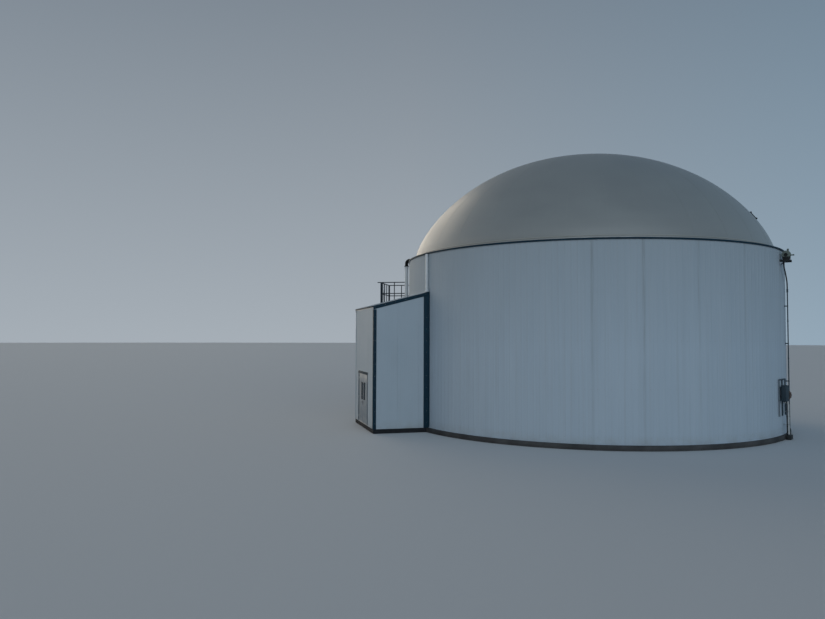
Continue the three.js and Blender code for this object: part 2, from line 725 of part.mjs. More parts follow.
// A lever handle on its plate, at this y and against this face.
function addDoorHandle(y, face) {
  const half = LEVER_THICKNESS / 2;
  const width = HANDLE_PLATE_WIDTH / 2;
  const plateBottom = HANDLE_HEIGHT - HANDLE_PLATE_BELOW;
  const plateTop = HANDLE_HEIGHT + HANDLE_PLATE_ABOVE;
  const plateFront = face - HANDLE_PLATE_THICKNESS;
  const leverFront = face - LEVER_STANDOFF;
  const leverBack = leverFront + LEVER_THICKNESS;
  const low = HANDLE_HEIGHT - half;
  const high = HANDLE_HEIGHT + half;
  const plate = block(plateFront, face, y - width, y + width, plateBottom, plateTop);
  const neck = block(leverBack - BITE, plateFront + BITE, y - half, y + half, low, high);
  const lever = block(leverFront, leverBack, y - half, y + LEVER_LENGTH, low, high);
  add(digester, 'door_handle', joined([plate, neck, lever]), steelGrey);
}

// Platform: a bracketed deck against the tank, three railings and a ladder to the ground

function addPlatform() {
  const group = turnedGroup(PLATFORM_ANGLE);
  const wall = claddingReach(PLATFORM_ANGLE, PLATFORM_HALF_WIDTH) + GAP;
  addDeck(group, wall);
  addRailings(group, wall);
  addLadder(group);
}

function addDeck(group, wall) {
  const bottom = DECK_TOP - DECK_THICKNESS;
  const edge = PLATFORM_HALF_WIDTH;
  const deck = block(wall, PLATFORM_OUTER, -edge, edge, bottom, DECK_TOP);
  const tip = PLATFORM_OUTER - BRACKET_SHORT_OF_EDGE;
  const outline = [
    [wall, bottom + BITE],
    [wall, bottom - BRACKET_DROP],
    [wall + BRACKET_WIDTH, bottom - BRACKET_DROP],
    [tip, bottom - BRACKET_WIDTH],
    [tip, bottom + BITE],
  ];
  const brackets = [-1, 1].map((out) => {
    const y = out * BRACKET_SHARE * edge;
    return sideProfile(outline, y - BRACKET_WIDTH / 2, y + BRACKET_WIDTH / 2);
  });
  add(group, 'platform_deck', joined([deck, ...brackets]), galvanised);
}

function addRailings(group, wall) {
  const half = RAIL_SIZE / 2;
  const foot = DECK_TOP + GAP;
  const levels = [DECK_TOP + TOE_RAIL_HEIGHT, (DECK_TOP + RAIL_TOP) / 2, RAIL_TOP - half];
  const outerLine = PLATFORM_OUTER - half;
  const sideLine = PLATFORM_HALF_WIDTH - half;
  const post = (x, y) => block(x - half, x + half, y - half, y + half, foot, RAIL_TOP);
  const rail = (x0, x1, y0, y1) => levels.map((z) => block(x0, x1, y0, y1, z - half, z + half));
  [['right', -1], ['left', 1]].forEach(([side, out]) => {
    const y = out * sideLine;
    const start = wall + RAIL_END_GAP;
    const end = outerLine - half - GAP;
    const posts = [start + half, (start + end) / 2, end - half].map((x) => post(x, y));
    const rails = rail(start, end, y - half, y + half);
    add(group, `platform_railing_${side}`, joined([...posts, ...rails]), steelGrey);
  });
  const posts = FRONT_POSTS.map((share) => post(outerLine, share * sideLine));
  const rails = rail(outerLine - half, outerLine + half, -PLATFORM_HALF_WIDTH, PLATFORM_HALF_WIDTH);
  const stubEnd = outerLine + half + RAIL_STUB;
  const stub = block(outerLine, stubEnd, sideLine - half, sideLine + half, RAIL_TOP - RAIL_SIZE, RAIL_TOP);
  add(group, 'platform_railing_front', joined([...posts, ...rails, stub]), steelGrey);
}

function addLadder(group) {
  const half = RAIL_SIZE / 2;
  const x = PLATFORM_OUTER + GAP + half;
  const y0 = LADDER_CENTRE - LADDER_WIDTH / 2;
  const y1 = LADDER_CENTRE + LADDER_WIDTH / 2;
  const stiles = [y0, y1].map((y) => block(x - half, x + half, y - half / 2, y + half / 2, 0, RAIL_TOP));
  const rungs = [];
  const rungHalf = RUNG_SIZE / 2;
  for (let z = RUNG_SPACING; z < DECK_TOP; z += RUNG_SPACING) {
    rungs.push(block(x - rungHalf, x + rungHalf, y0, y1, z - rungHalf, z + rungHalf));
  }
  add(group, 'platform_ladder', joined([...stiles, ...rungs]), galvanised);
}

// Gas pipe on the left: a galvanised downpipe with a black elbow into the dome's foot

function bentPipe(points, radius, sides, steps) {
  const circle = new THREE.Shape();
  circle.absarc(0, 0, radius, 0, Math.PI * 2, false);
  const path = new THREE.CatmullRomCurve3(points.map(([x, y, z]) => new THREE.Vector3(x, y, z)));
  return new THREE.ExtrudeGeometry(circle, {
    steps,
    curveSegments: sides,
    bevelEnabled: false,
    extrudePath: path,
  });
}

// A route straight up at x, round a quarter bend and on inwards to `end` at height z1.
function elbowRoute(x, z0, z1, bend, end) {
  const route = [[x, 0, z0]];
  for (let i = 0; i <= BEND_STEPS; i += 1) {
    const turn = (Math.PI / 2) * (i / BEND_STEPS);
    const inward = bend * (1 - Math.cos(turn));
    const upward = bend * (1 - Math.sin(turn));
    route.push([x - inward, 0, z1 - upward]);
  }
  route.push([end, 0, z1]);
  return route;
}

function addLeftPipes() {
  const group = turnedGroup(DOWNPIPE_ANGLE);
  const foot = FOUNDATION_HEIGHT + GAP;
  const downpipe = upright(DOWNPIPE_RADIUS, DOWNPIPE_REACH, 0, foot, DOWNPIPE_TOP, 20);
  add(group, 'gas_downpipe', downpipe, galvanised);
  const start = DOWNPIPE_TOP + GAP;
  const flangeTop = start + ELBOW_FLANGE_HEIGHT;
  const flange = upright(ELBOW_FLANGE_RADIUS, DOWNPIPE_REACH, 0, start, flangeTop, 20);
  const neck = start + ELBOW_FLANGE_HEIGHT / 2;
  const elbowEnd = DOME_RADIUS + ELBOW_END_GAP;
  const route = elbowRoute(DOWNPIPE_REACH, neck, start + ELBOW_RISE, ELBOW_BEND, elbowEnd);
  const bend = bentPipe(route, ELBOW_RADIUS, 6, 14);
  add(group, 'gas_elbow', joined([flange, bend]), blackPlastic);

  const riserGroup = turnedGroup(RISER_ANGLE);
  const reach = CLADDING_RADIUS + RISER_RADIUS + RISER_STANDOFF;
  const x = reach * Math.cos(THREE.MathUtils.degToRad(RISER_ANGLE));
  const riserFoot = roofTop(x + RISER_RADIUS) + GAP;
  const riser = upright(RISER_RADIUS, reach, 0, riserFoot, WALL_TOP, 12);
  add(riserGroup, 'roof_riser_pipe', riser, galvanised);
}

// Blower shelf, blower, hose, pipes and cabinet on the right

function addBlowerShelf(group) {
  const wall = claddingReach(SHELF_ANGLE, SHELF_HALF_WIDTH) + GAP;
  const top = SHELF_BOTTOM + SHELF_THICKNESS;
  const half = SHELF_HALF_WIDTH;
  const plate = block(wall, wall + SHELF_DEPTH, -half, half, SHELF_BOTTOM, top);
  const outline = [
    [wall, SHELF_BOTTOM + BITE],
    [wall, SHELF_BOTTOM - GUSSET_DROP],
    [wall + GUSSET_FOOT, SHELF_BOTTOM - GUSSET_DROP],
    [wall + SHELF_DEPTH * GUSSET_REACH, SHELF_BOTTOM + BITE],
  ];
  const gussets = [-1, 1].map((side) => {
    const y = side * (half - GUSSET_INSET);
    return sideProfile(outline, y - GUSSET_THICKNESS / 2, y + GUSSET_THICKNESS / 2);
  });
  add(group, 'blower_shelf', joined([plate, ...gussets]), castDark);
}

function addBlower() {
  const group = turnedGroup(SHELF_ANGLE);
  addBlowerShelf(group);
  const seat = SHELF_BOTTOM + SHELF_THICKNESS + GAP;
  const centre = seat + DRUM_RADIUS + DRUM_LIFT;
  const x = BLOWER_REACH;
  const drum = new THREE.CylinderGeometry(DRUM_RADIUS, DRUM_RADIUS, DRUM_WIDTH, 24);
  drum.translate(x, DRUM_OFFSET, centre);
  const motor = new THREE.CylinderGeometry(MOTOR_RADIUS, MOTOR_RADIUS, MOTOR_LENGTH, 16);
  motor.translate(x, MOTOR_OFFSET, centre);
  const reach = FOOT_HALF_LENGTH;
  const foot = block(x - reach, x + reach, FOOT_RIGHT, FOOT_LEFT, seat, seat + FOOT_HEIGHT);
  const crown = centre + DRUM_RADIUS;
  const inlet = upright(INLET_RADIUS, x + INLET_OFFSET, DRUM_OFFSET, centre, crown + INLET_RISE, 12);
  const outlet = new THREE.CylinderGeometry(OUTLET_RADIUS, OUTLET_RADIUS, OUTLET_LENGTH, 12);
  const outletX = x + DRUM_RADIUS + OUTLET_OFFSET;
  outlet.rotateZ(Math.PI / 2).translate(outletX, DRUM_OFFSET, centre + OUTLET_OFFSET);
  add(group, 'blower', joined([drum, motor, foot, inlet, outlet]), castDark);
}

// A point at this angle round the tank's axis, this far out and this high.
function place(degrees, reach, z) {
  const angle = THREE.MathUtils.degToRad(degrees);
  return [reach * Math.cos(angle), reach * Math.sin(angle), z];
}

function addBlowerLine() {
  const foot = FOUNDATION_HEIGHT + GAP;
  const route = HOSE_ROUTE.map(([past, reach, drop]) => (
    place(SHELF_ANGLE + past, reach, SHELF_BOTTOM - drop)
  ));
  add(digester, 'blower_hose', bentPipe(route, HOSE_RADIUS, 5, 24), blackPlastic);

  const conduitGroup = turnedGroup(CONDUIT_ANGLE);
  const couplerFoot = CONDUIT_TOP - COUPLER_LENGTH;
  const coupler = upright(COUPLER_RADIUS, CONDUIT_REACH, 0, couplerFoot, CONDUIT_TOP, 12);
  const conduit = upright(CONDUIT_RADIUS, CONDUIT_REACH, 0, foot, couplerFoot + BITE, 12);
  add(conduitGroup, 'hose_conduit', joined([conduit, coupler]), steelGrey);

  const drainGroup = turnedGroup(DRAIN_ANGLE);
  const wall = claddingReach(DRAIN_ANGLE, DRAIN_RADIUS) + GAP;
  const drainRoute = elbowRoute(DRAIN_REACH, DRAIN_BOX_HEIGHT + GAP, DRAIN_TOP, DRAIN_BEND, wall);
  add(drainGroup, 'condensate_pipe', bentPipe(drainRoute, DRAIN_RADIUS, 6, 24), whitePlastic);

  const boxGroup = turnedGroup(DRAIN_BOX_ANGLE);
  const near = FOUNDATION_RADIUS + GAP;
  const half = DRAIN_BOX_WIDTH / 2;
  const box = block(near, near + DRAIN_BOX_DEPTH, -half, half, 0, DRAIN_BOX_HEIGHT);
  add(boxGroup, 'condensate_box', box, castDark);
}

function addCabinet() {
  const group = turnedGroup(CABINET_ANGLE);
  const wall = claddingReach(CABINET_ANGLE, STRUT_SPACING + STRUT_SIZE) + GAP;
  const half = STRUT_SIZE / 2;
  const struts = [-1, 0, 1].map((step) => {
    const y = step * STRUT_SPACING;
    return block(wall, wall + STRUT_SIZE, y - half, y + half, STRUT_BOTTOM, STRUT_TOP);
  });
  const reach = STRUT_SPACING + half;
  const levels = [CABINET_BOTTOM + BAR_INSET, CABINET_TOP - BAR_INSET, STRUT_TOP - half];
  const bars = levels.map((z) => block(wall, wall + STRUT_SIZE, -reach, reach, z - half, z + half));
  add(group, 'cabinet_frame', joined([...struts, ...bars]), steelGrey);
  const back = wall + STRUT_SIZE + GAP;
  const width = CABINET_WIDTH / 2;
  const body = block(back, back + CABINET_DEPTH, -width, width, CABINET_BOTTOM, CABINET_TOP);
  add(group, 'control_cabinet', body, steelGrey);

  const conduit = upright(
    CABINET_CONDUIT_RADIUS,
    CABINET_CONDUIT_REACH,
    CABINET_CONDUIT_OFFSET,
    DRAIN_BOX_HEIGHT + GAP,
    CABINET_BOTTOM - GAP,
    12,
  );
  add(group, 'cabinet_conduit', conduit, blackPlastic);
}

addTank();
addDome();
addDomePort();
addAnnexShell();
addAnnexTrims();
addDoorFrame();
addDoorLeaves();
addPlatform();
addLeftPipes();
addBlower();
addBlowerLine();
addCabinet();

export default digester;
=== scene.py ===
# %% [markdown]
# # A biogas digester, dressed for its photograph
# A digester is a round, insulated concrete tank with a fabric dome over it. Air blown between
# the dome's two skins keeps it round, and the gas collects underneath. We start from the plain
# solids and give each part the sheets, seams, bolts and finishes that the real one shows.

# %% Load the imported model
import math

import bmesh
import bpy
from mathutils import Matrix, Vector


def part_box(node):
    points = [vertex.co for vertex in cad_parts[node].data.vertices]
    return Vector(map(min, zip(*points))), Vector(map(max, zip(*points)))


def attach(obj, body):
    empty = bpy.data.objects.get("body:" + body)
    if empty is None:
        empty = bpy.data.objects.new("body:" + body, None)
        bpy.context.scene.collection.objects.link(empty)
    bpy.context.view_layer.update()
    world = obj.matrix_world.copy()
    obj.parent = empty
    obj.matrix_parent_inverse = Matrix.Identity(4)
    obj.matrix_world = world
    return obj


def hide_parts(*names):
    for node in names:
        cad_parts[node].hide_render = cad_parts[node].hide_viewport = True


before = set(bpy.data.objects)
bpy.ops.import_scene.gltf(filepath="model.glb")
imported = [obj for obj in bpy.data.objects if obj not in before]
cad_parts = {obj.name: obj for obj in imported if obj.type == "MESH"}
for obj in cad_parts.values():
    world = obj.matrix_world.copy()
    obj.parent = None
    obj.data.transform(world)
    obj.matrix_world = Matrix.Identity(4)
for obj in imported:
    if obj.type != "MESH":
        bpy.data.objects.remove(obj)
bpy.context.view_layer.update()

# %% [markdown]
# ## The camera
# The picture was taken from a low rise to the left of the tank, with a lens a little wider than
# normal. The tank's rim and foot are two circles, so their ellipses give the place and the tilt.

# %% The camera's place and lens
EYE = Vector((-16.232, -29.091, 3.910))
HEADING = math.radians(15.1)
PITCH = math.radians(2.28)
ROLL = math.radians(0.19)
LENS_MM = 30.13


def add_object(name, data):
    """Makes an object for the data and puts it into the scene."""
    made = bpy.data.objects.new(name, data)
    bpy.context.scene.collection.objects.link(made)
    return made


forward = Vector((math.sin(HEADING), math.cos(HEADING), math.tan(PITCH))).normalized()
camera = add_object("camera", bpy.data.cameras.new("camera"))
camera.data.lens = LENS_MM
turn = forward.to_track_quat("-Z", "Y").to_matrix() @ Matrix.Rotation(ROLL, 3, "Z")
camera.matrix_world = Matrix.Translation(EYE) @ turn.to_4x4()
bpy.context.scene.camera = camera
print("camera looks along", forward[:])

# %% [markdown]
# ## Finishes as small node graphs
# Every finish below starts from the same shader and adds what its surface shows. A short helper
# keeps the graphs readable: it makes a node, sets its values and links its inputs in one call.

# %% A helper that builds node graphs
class Finish:
    """A material being made: node() adds a node, and its inputs are values or other sockets."""

    def __init__(self, name, roughness=0.5, metallic=0.0):
        self.material = bpy.data.materials.new(name)
        self.material.use_nodes = True
        self.tree = self.material.node_tree
        self.shader = self.tree.nodes["Principled BSDF"]
        self.shader.inputs["Roughness"].default_value = roughness
        self.shader.inputs["Metallic"].default_value = metallic
        self.place = self.node("ShaderNodeTexCoord").outputs["Object"]

    def plug(self, socket, value):
        if isinstance(value, bpy.types.NodeSocket):
            self.tree.links.new(value, socket)
        else:
            socket.default_value = value

    def node(self, kind, inputs=(), **settings):
        made = self.tree.nodes.new(kind)
        for key, value in settings.items():
            setattr(made, key, value)
        for key, value in dict(inputs).items():
            self.plug(made.inputs[key], value)
        return made

    def maths(self, operation, *values):
        return self.node("ShaderNodeMath", enumerate(values), operation=operation).outputs[0]

    def stretched(self, scale):
        mapping = self.node("ShaderNodeMapping", {"Vector": self.place, "Scale": scale})
        return mapping.outputs["Vector"]

    def noise(self, scale, detail=4.0, where=None):
        inputs = {"Vector": where or self.place, "Scale": scale, "Detail": detail}
        return self.node("ShaderNodeTexNoise", inputs).outputs["Fac"]

    def between(self, value, low, high, to_low=0.0, to_high=1.0):
        inputs = {"Value": value, 1: low, 2: high, 3: to_low, 4: to_high}
        return self.node("ShaderNodeMapRange", inputs).outputs["Result"]

    def mix(self, share, first, second):
        made = self.node("ShaderNodeMix", data_type="RGBA")
        self.plug(made.inputs["Factor"], share)
        self.plug(made.inputs[6], first)
        self.plug(made.inputs[7], second)
        return made.outputs[2]

    def colour(self, value):
        self.plug(self.shader.inputs["Base Color"], value)

    def roughness(self, value):
        self.plug(self.shader.inputs["Roughness"], value)

    def bump(self, height, strength, distance):
        inputs = {"Height": height, "Strength": strength, "Distance": distance}
        normal = self.node("ShaderNodeBump", inputs).outputs["Normal"]
        self.plug(self.shader.inputs["Normal"], normal)

    def round_the_tank(self, across, up):
        """Coordinates on the unrolled wall: turns times `across`, and height times `up`."""
        split = self.node("ShaderNodeSeparateXYZ", {0: self.place}).outputs
        turned = self.maths("MULTIPLY", self.maths("ARCTAN2", split["Y"], split["X"]), across)
        raised = self.maths("MULTIPLY", split["Z"], up)
        return self.node("ShaderNodeCombineXYZ", {0: turned, 2: raised}).outputs[0]


def rgb(red, green, blue):
    return (red, green, blue, 1.0)


# %% [markdown]
# ## Painted sheet
# The wall sheets are off-white steel, painted a little darker towards the rim as painted shade.
# Rain has drawn thin grey runs down from the rim, the paint has weathered unevenly, and soil has
# splashed up the foot. The strongest runs have places of their own, so they follow an attribute on
# the mesh, and noise breaks them up on the way down.

# %% Paint for the tank's wall sheets
RIM_HEIGHT = 7.38
FOOT_HEIGHT = 0.18


def make_wall_paint():
    paint = Finish("cladding_paint", 0.6)
    paint.shader.inputs["Specular IOR Level"].default_value = 0.25
    height = paint.node("ShaderNodeSeparateXYZ", {0: paint.place}).outputs["Z"]
    fine = paint.noise(1.0, 3.0, paint.round_the_tank(95.0, 0.16))
    broad = paint.noise(1.0, 2.0, paint.round_the_tank(14.0, 0.22))
    # Painted shade: the upper tone is darker than the lower one, and the sheets blend to it towards the rim.
    upper_painted_shade = paint.mix(paint.between(broad, 0.3, 0.7), rgb(0.355, 0.41, 0.455), rgb(0.375, 0.43, 0.475))
    lower = paint.mix(paint.between(broad, 0.3, 0.7), rgb(0.425, 0.495, 0.56), rgb(0.445, 0.515, 0.58))
    base = paint.mix(paint.between(height, 3.4, 7.2), lower, upper_painted_shade)
    streaked = paint.mix(
        paint.between(fine, 0.52, 0.78, 0.0, 0.4), base, rgb(0.38, 0.415, 0.44)
    )
    runs = paint.node("ShaderNodeAttribute", attribute_name="runoff").outputs["Fac"]
    fading = paint.between(height, 0.6, RIM_HEIGHT, 0.25, 1.0)
    broken = paint.between(paint.noise(1.0, 4.0, paint.round_the_tank(160.0, 0.7)), 0.3, 0.6)
    run_share = paint.maths("MULTIPLY", paint.maths("MULTIPLY", runs, fading), broken)
    run_share = paint.maths("MULTIPLY", run_share, 0.62)
    stained = paint.mix(run_share, streaked, rgb(0.20, 0.215, 0.215))
    splash = paint.between(height, FOOT_HEIGHT, FOOT_HEIGHT + 0.35, 0.4, 0.0)
    splash = paint.maths("MULTIPLY", splash, paint.between(paint.noise(2.2), 0.35, 0.7))
    paint.colour(paint.mix(splash, stained, rgb(0.27, 0.26, 0.235)))
    paint.roughness(paint.between(fine, 0.3, 0.8, 0.55, 0.7))
    paint.bump(paint.noise(2.3, 2.0), 0.06, 0.02)
    return paint.material


def make_siding_paint():
    paint = Finish("siding_paint", 0.6)
    paint.shader.inputs["Specular IOR Level"].default_value = 0.25
    height = paint.node("ShaderNodeSeparateXYZ", {0: paint.place}).outputs["Z"]
    runs = paint.noise(2.0, 4.0, paint.stretched((7.0, 7.0, 0.25)))
    cloudy = paint.noise(0.7, 3.0)
    base = paint.mix(paint.between(cloudy, 0.3, 0.7), rgb(0.385, 0.445, 0.495), rgb(0.41, 0.47, 0.52))
    streaked = paint.mix(paint.between(runs, 0.5, 0.8, 0.0, 0.3), base, rgb(0.38, 0.415, 0.44))
    splash = paint.between(height, FOOT_HEIGHT, FOOT_HEIGHT + 0.4, 0.4, 0.0)
    splash = paint.maths("MULTIPLY", splash, paint.between(paint.noise(2.6), 0.35, 0.7))
    paint.colour(paint.mix(splash, streaked, rgb(0.27, 0.26, 0.235)))
    paint.roughness(paint.between(runs, 0.3, 0.8, 0.55, 0.7))
    paint.bump(paint.noise(1.8, 2.0), 0.05, 0.02)
    return paint.material


def make_plain_paint(name, dark, light, roughness, grain=9.0, dust=0.35, gloss=0.5):
    """A painted finish that is a little uneven, chalky in patches and faintly dusty on top."""
    paint = Finish(name, roughness)
    paint.shader.inputs["Specular IOR Level"].default_value = gloss
    patches = paint.between(paint.noise(grain, 5.0), 0.35, 0.68)
    tone = paint.mix(patches, dark, light)
    normal = paint.node("ShaderNodeNewGeometry").outputs["Normal"]
    upward = paint.node("ShaderNodeSeparateXYZ", {0: normal}).outputs["Z"]
    dusty = paint.maths("MULTIPLY", paint.between(upward, 0.3, 1.0, 0.0, dust), patches)
    paint.colour(paint.mix(dusty, tone, rgb(0.30, 0.29, 0.265)))
    paint.roughness(paint.between(patches, 0.0, 1.0, roughness - 0.06, roughness + 0.12))
    paint.bump(paint.noise(grain * 14.0, 2.0), 0.12, 0.001)
    return paint.material


# %% [markdown]
# ## Coated fabric
# The dome is a polyester cloth coated with vinyl. From a distance it is a smooth warm grey, and
# up close it has a fine weave under the coating and dust that has dried in spots. The weld bands
# and the hem use paler cloths of their own.

# %% Fabric for the dome
def make_membrane(name, dark, light):
    cloth = Finish(name)
    washed = cloth.noise(0.55, 5.0, cloth.stretched((1.0, 1.0, 2.2)))
    spotted = cloth.noise(6.0, 3.0)
    base = cloth.mix(cloth.between(washed, 0.32, 0.68), dark, light)
    height = cloth.node("ShaderNodeSeparateXYZ", {0: cloth.place}).outputs["Z"]
    low = cloth.between(height, 7.4, 8.6, 0.25, 0.0)
    dusty = cloth.mix(low, base, rgb(0.335, 0.335, 0.32))
    cloth.colour(cloth.mix(cloth.between(spotted, 0.58, 0.8, 0.0, 0.2), dusty, dark))
    cloth.roughness(cloth.between(washed, 0.3, 0.7, 0.42, 0.52))
    cloth.shader.inputs["Coat Weight"].default_value = 0.6
    cloth.shader.inputs["Coat Roughness"].default_value = 0.38
    weave = cloth.node("ShaderNodeTexVoronoi", {"Vector": cloth.place, "Scale": 240.0}).outputs[0]
    cloth.bump(weave, 0.12, 0.002)
    return cloth.material


# %% [markdown]
# ## Concrete, zinc, plastics and glass
# The footing is dark cast concrete with pores, and damp at its foot. Galvanised steel shows the
# spangle of zinc crystals, which a Voronoi pattern gives directly.

# %% Finishes for everything else
def make_concrete():
    cast = Finish("cast_concrete", 0.88)
    height = cast.node("ShaderNodeSeparateXYZ", {0: cast.place}).outputs["Z"]
    cloudy = cast.between(cast.noise(1.3, 6.0), 0.35, 0.65)
    base = cast.mix(cloudy, rgb(0.034, 0.033, 0.034), rgb(0.075, 0.074, 0.074))
    damp = cast.maths("MULTIPLY", cast.between(height, 0.0, 0.14, 0.75, 0.0), cast.noise(3.1))
    wet = cast.mix(damp, base, rgb(0.026, 0.024, 0.022))
    pores = cast.noise(46.0, 3.0)
    cast.colour(cast.mix(cast.between(pores, 0.62, 0.72, 0.0, 0.6), wet, rgb(0.045, 0.042, 0.038)))
    cast.bump(cast.mix(0.4, cast.noise(60.0, 5.0), cast.noise(9.0, 4.0)), 0.35, 0.004)
    return cast.material


def make_zinc(name, metallic, dull, crystal_dark, crystal_light):
    zinc = Finish(name, 0.42, metallic)
    crystals = zinc.node("ShaderNodeTexVoronoi", {"Vector": zinc.place, "Scale": 55.0})
    tone = zinc.node("ShaderNodeSeparateColor", {0: crystals.outputs["Color"]}).outputs[0]
    weathered = zinc.between(zinc.noise(3.0, 5.0), 0.35, 0.65)
    fresh = zinc.mix(tone, crystal_dark, crystal_light)
    zinc.colour(zinc.mix(weathered, dull, fresh))
    zinc.roughness(zinc.between(weathered, 0.0, 1.0, 0.6, 0.38))
    zinc.bump(zinc.noise(70.0, 2.0), 0.1, 0.001)
    return zinc.material


def make_plastic(name, dark, light, roughness, grain, gloss=0.5):
    plastic = Finish(name, roughness)
    plastic.shader.inputs["Specular IOR Level"].default_value = gloss
    cloudy = plastic.between(plastic.noise(grain, 4.0), 0.35, 0.65)
    plastic.colour(plastic.mix(cloudy, dark, light))
    plastic.roughness(plastic.between(cloudy, 0.0, 1.0, roughness - 0.08, roughness + 0.1))
    plastic.bump(plastic.noise(grain * 30.0, 2.0), 0.15, 0.0006)
    return plastic.material


def make_hose_rubber():
    """The hose is wound from a spiral, so its bump runs round it, along its own UV map."""
    hose = Finish("hose_rubber", 0.55)
    along = hose.node("ShaderNodeUVMap").outputs["UV"]
    split = hose.node("ShaderNodeSeparateXYZ", {0: along}).outputs
    ribs = hose.maths("SINE", hose.maths("MULTIPLY", split["X"], 2 * math.pi * 60))
    worn = hose.between(hose.noise(30.0, 3.0), 0.4, 0.7)
    hose.colour(hose.mix(worn, rgb(0.012, 0.013, 0.014), rgb(0.035, 0.036, 0.037)))
    hose.bump(ribs, 0.6, 0.004)
    return hose.material


# Painted shade: the panes are opaque, and their near-black colour stands for the dark inside seen through
# the glass.
def make_glass():
    pane = Finish("window_glass")
    pane.shader.inputs["Specular IOR Level"].default_value = 0.3
    streaks = pane.noise(5.0, 4.0, pane.stretched((1.0, 3.0, 0.6)))
    pane.colour(pane.mix(pane.between(streaks, 0.4, 0.75), rgb(0.008, 0.012, 0.016), rgb(0.02, 0.025, 0.03)))
    pane.roughness(pane.between(streaks, 0.4, 0.8, 0.06, 0.2))
    return pane.material


def make_rust():
    """Flaking rust: dull brown scale, a little paler where it is fresh."""
    rust = Finish("flaking_rust", 0.9)
    flakes = rust.between(rust.noise(38.0, 6.0), 0.4, 0.65)
    rust.colour(rust.mix(flakes, rgb(0.090, 0.066, 0.056), rgb(0.165, 0.115, 0.095)))
    rust.bump(rust.noise(60.0, 5.0), 0.5, 0.003)
    return rust.material


finishes = {
    "cladding": make_wall_paint(),
    "siding": make_siding_paint(),
    "dark_trim": make_plain_paint(
        "trim_paint", rgb(0.0035, 0.021, 0.037), rgb(0.006, 0.032, 0.053), 0.6, dust=0.05, gloss=0.2,
    ),
    "roof_sheet": make_plain_paint("roof_paint", rgb(0.36, 0.39, 0.42), rgb(0.42, 0.45, 0.48), 0.4, 2.0),
    "door_paint": make_plain_paint("door_paint", rgb(0.175, 0.21, 0.245), rgb(0.20, 0.24, 0.275), 0.45, 3.0),
    "membrane": make_membrane("dome_fabric", rgb(0.255, 0.268, 0.266), rgb(0.278, 0.292, 0.288)),
    "concrete": make_concrete(),
    "galvanised_steel": make_zinc(
        "galvanised_zinc", 0.75, rgb(0.33, 0.335, 0.33), rgb(0.42, 0.43, 0.44), rgb(0.55, 0.56, 0.57),
    ),
    "grey_steel": make_plain_paint(
        "grey_enamel", rgb(0.026, 0.046, 0.062), rgb(0.042, 0.064, 0.080), 0.65, dust=0.15, gloss=0.3,
    ),
    "dark_steel": make_plain_paint(
        "cast_enamel", rgb(0.012, 0.015, 0.017), rgb(0.03, 0.033, 0.033), 0.65, dust=0.2, gloss=0.3,
    ),
    "black_plastic": make_plastic(
        "black_plastic", rgb(0.003, 0.0035, 0.004), rgb(0.008, 0.009, 0.010), 0.7, 7.0, 0.15,
    ),
    "white_plastic": make_plastic("white_plastic", rgb(0.52, 0.53, 0.52), rgb(0.60, 0.60, 0.58), 0.4, 5.0),
    "window_glass": make_glass(),
}
pale_zinc = make_zinc(
    "pale_zinc", 0.0, rgb(0.62, 0.64, 0.65), rgb(0.68, 0.70, 0.71), rgb(0.74, 0.76, 0.77),
)
railing_enamel = make_plain_paint(
    "railing_enamel", rgb(0.008, 0.019, 0.030), rgb(0.016, 0.032, 0.046), 0.6, dust=0.1, gloss=0.3,
)
channel_zinc = make_zinc(
    "channel_zinc", 0.1, rgb(0.10, 0.13, 0.155), rgb(0.15, 0.18, 0.205), rgb(0.19, 0.22, 0.245),
)
blower_enamel = make_plain_paint(
    "blower_enamel", rgb(0.135, 0.165, 0.145), rgb(0.18, 0.21, 0.19), 0.6, dust=0.2, gloss=0.35,
)
rust = make_rust()
print("finishes:", ", ".join(finishes))

# %% [markdown]
# ## The blower's hose comes first
# A corrugated hose drops from the blower shelf, swings to the right in a loose S and enters the
# conduit below. It is stiff, so the bends are wide. Its points are the ones the plain model has.

# %% The hose
SHELF_ANGLE = 305.5
SHELF_BOTTOM = 6.93
HOSE_DIAMETER = 0.05
HOSE_ROUTE = [
    (0, 8.375, 0.0003), (0, 8.375, 0.05), (0, 8.375, 0.105), (0.08, 8.375, 0.18),
    (0.32, 8.375, 0.25), (0.71, 8.375, 0.311), (1.22, 8.375, 0.369), (1.75, 8.374, 0.428),
    (2.29, 8.373, 0.486), (2.83, 8.371, 0.543), (3.37, 8.369, 0.599), (3.9, 8.367, 0.653),
    (4.43, 8.365, 0.705), (4.95, 8.363, 0.759), (5.36, 8.361, 0.818), (5.61, 8.36, 0.887),
    (5.7, 8.36, 0.957), (5.7, 8.36, 1.005), (5.7, 8.36, 1.0497),
]


def round_tank(degrees, reach, height):
    """A point this far round the tank's axis, this far out and this high."""
    angle = math.radians(degrees)
    return Vector((reach * math.cos(angle), reach * math.sin(angle), height))


def make_hose():
    curve = bpy.data.curves.new("blower_flex_hose", "CURVE")
    curve.dimensions = "3D"
    curve.bevel_depth = HOSE_DIAMETER / 2
    curve.bevel_resolution = 5
    curve.resolution_u = 8
    curve.use_fill_caps = True
    spline = curve.splines.new("BEZIER")
    spline.bezier_points.add(len(HOSE_ROUTE) - 1)
    places = [
        round_tank(SHELF_ANGLE + past, reach, SHELF_BOTTOM - drop) for past, reach, drop in HOSE_ROUTE
    ]
    for point, place in zip(spline.bezier_points, places):
        point.co = place
        point.handle_left_type = point.handle_right_type = "AUTO"
    hose = add_object("blower_flex_hose", curve)
    curve.materials.append(make_hose_rubber())
    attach(hose, "plant")
    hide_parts("blower_hose")


make_hose()

# %% [markdown]
# ## A few ways to shape a mesh
# Most pieces are boxes, rods and turned profiles. Each helper adds one such shape to a bmesh, so
# that a whole assembly becomes one piece, and `keep` turns the finished bmesh into an object.

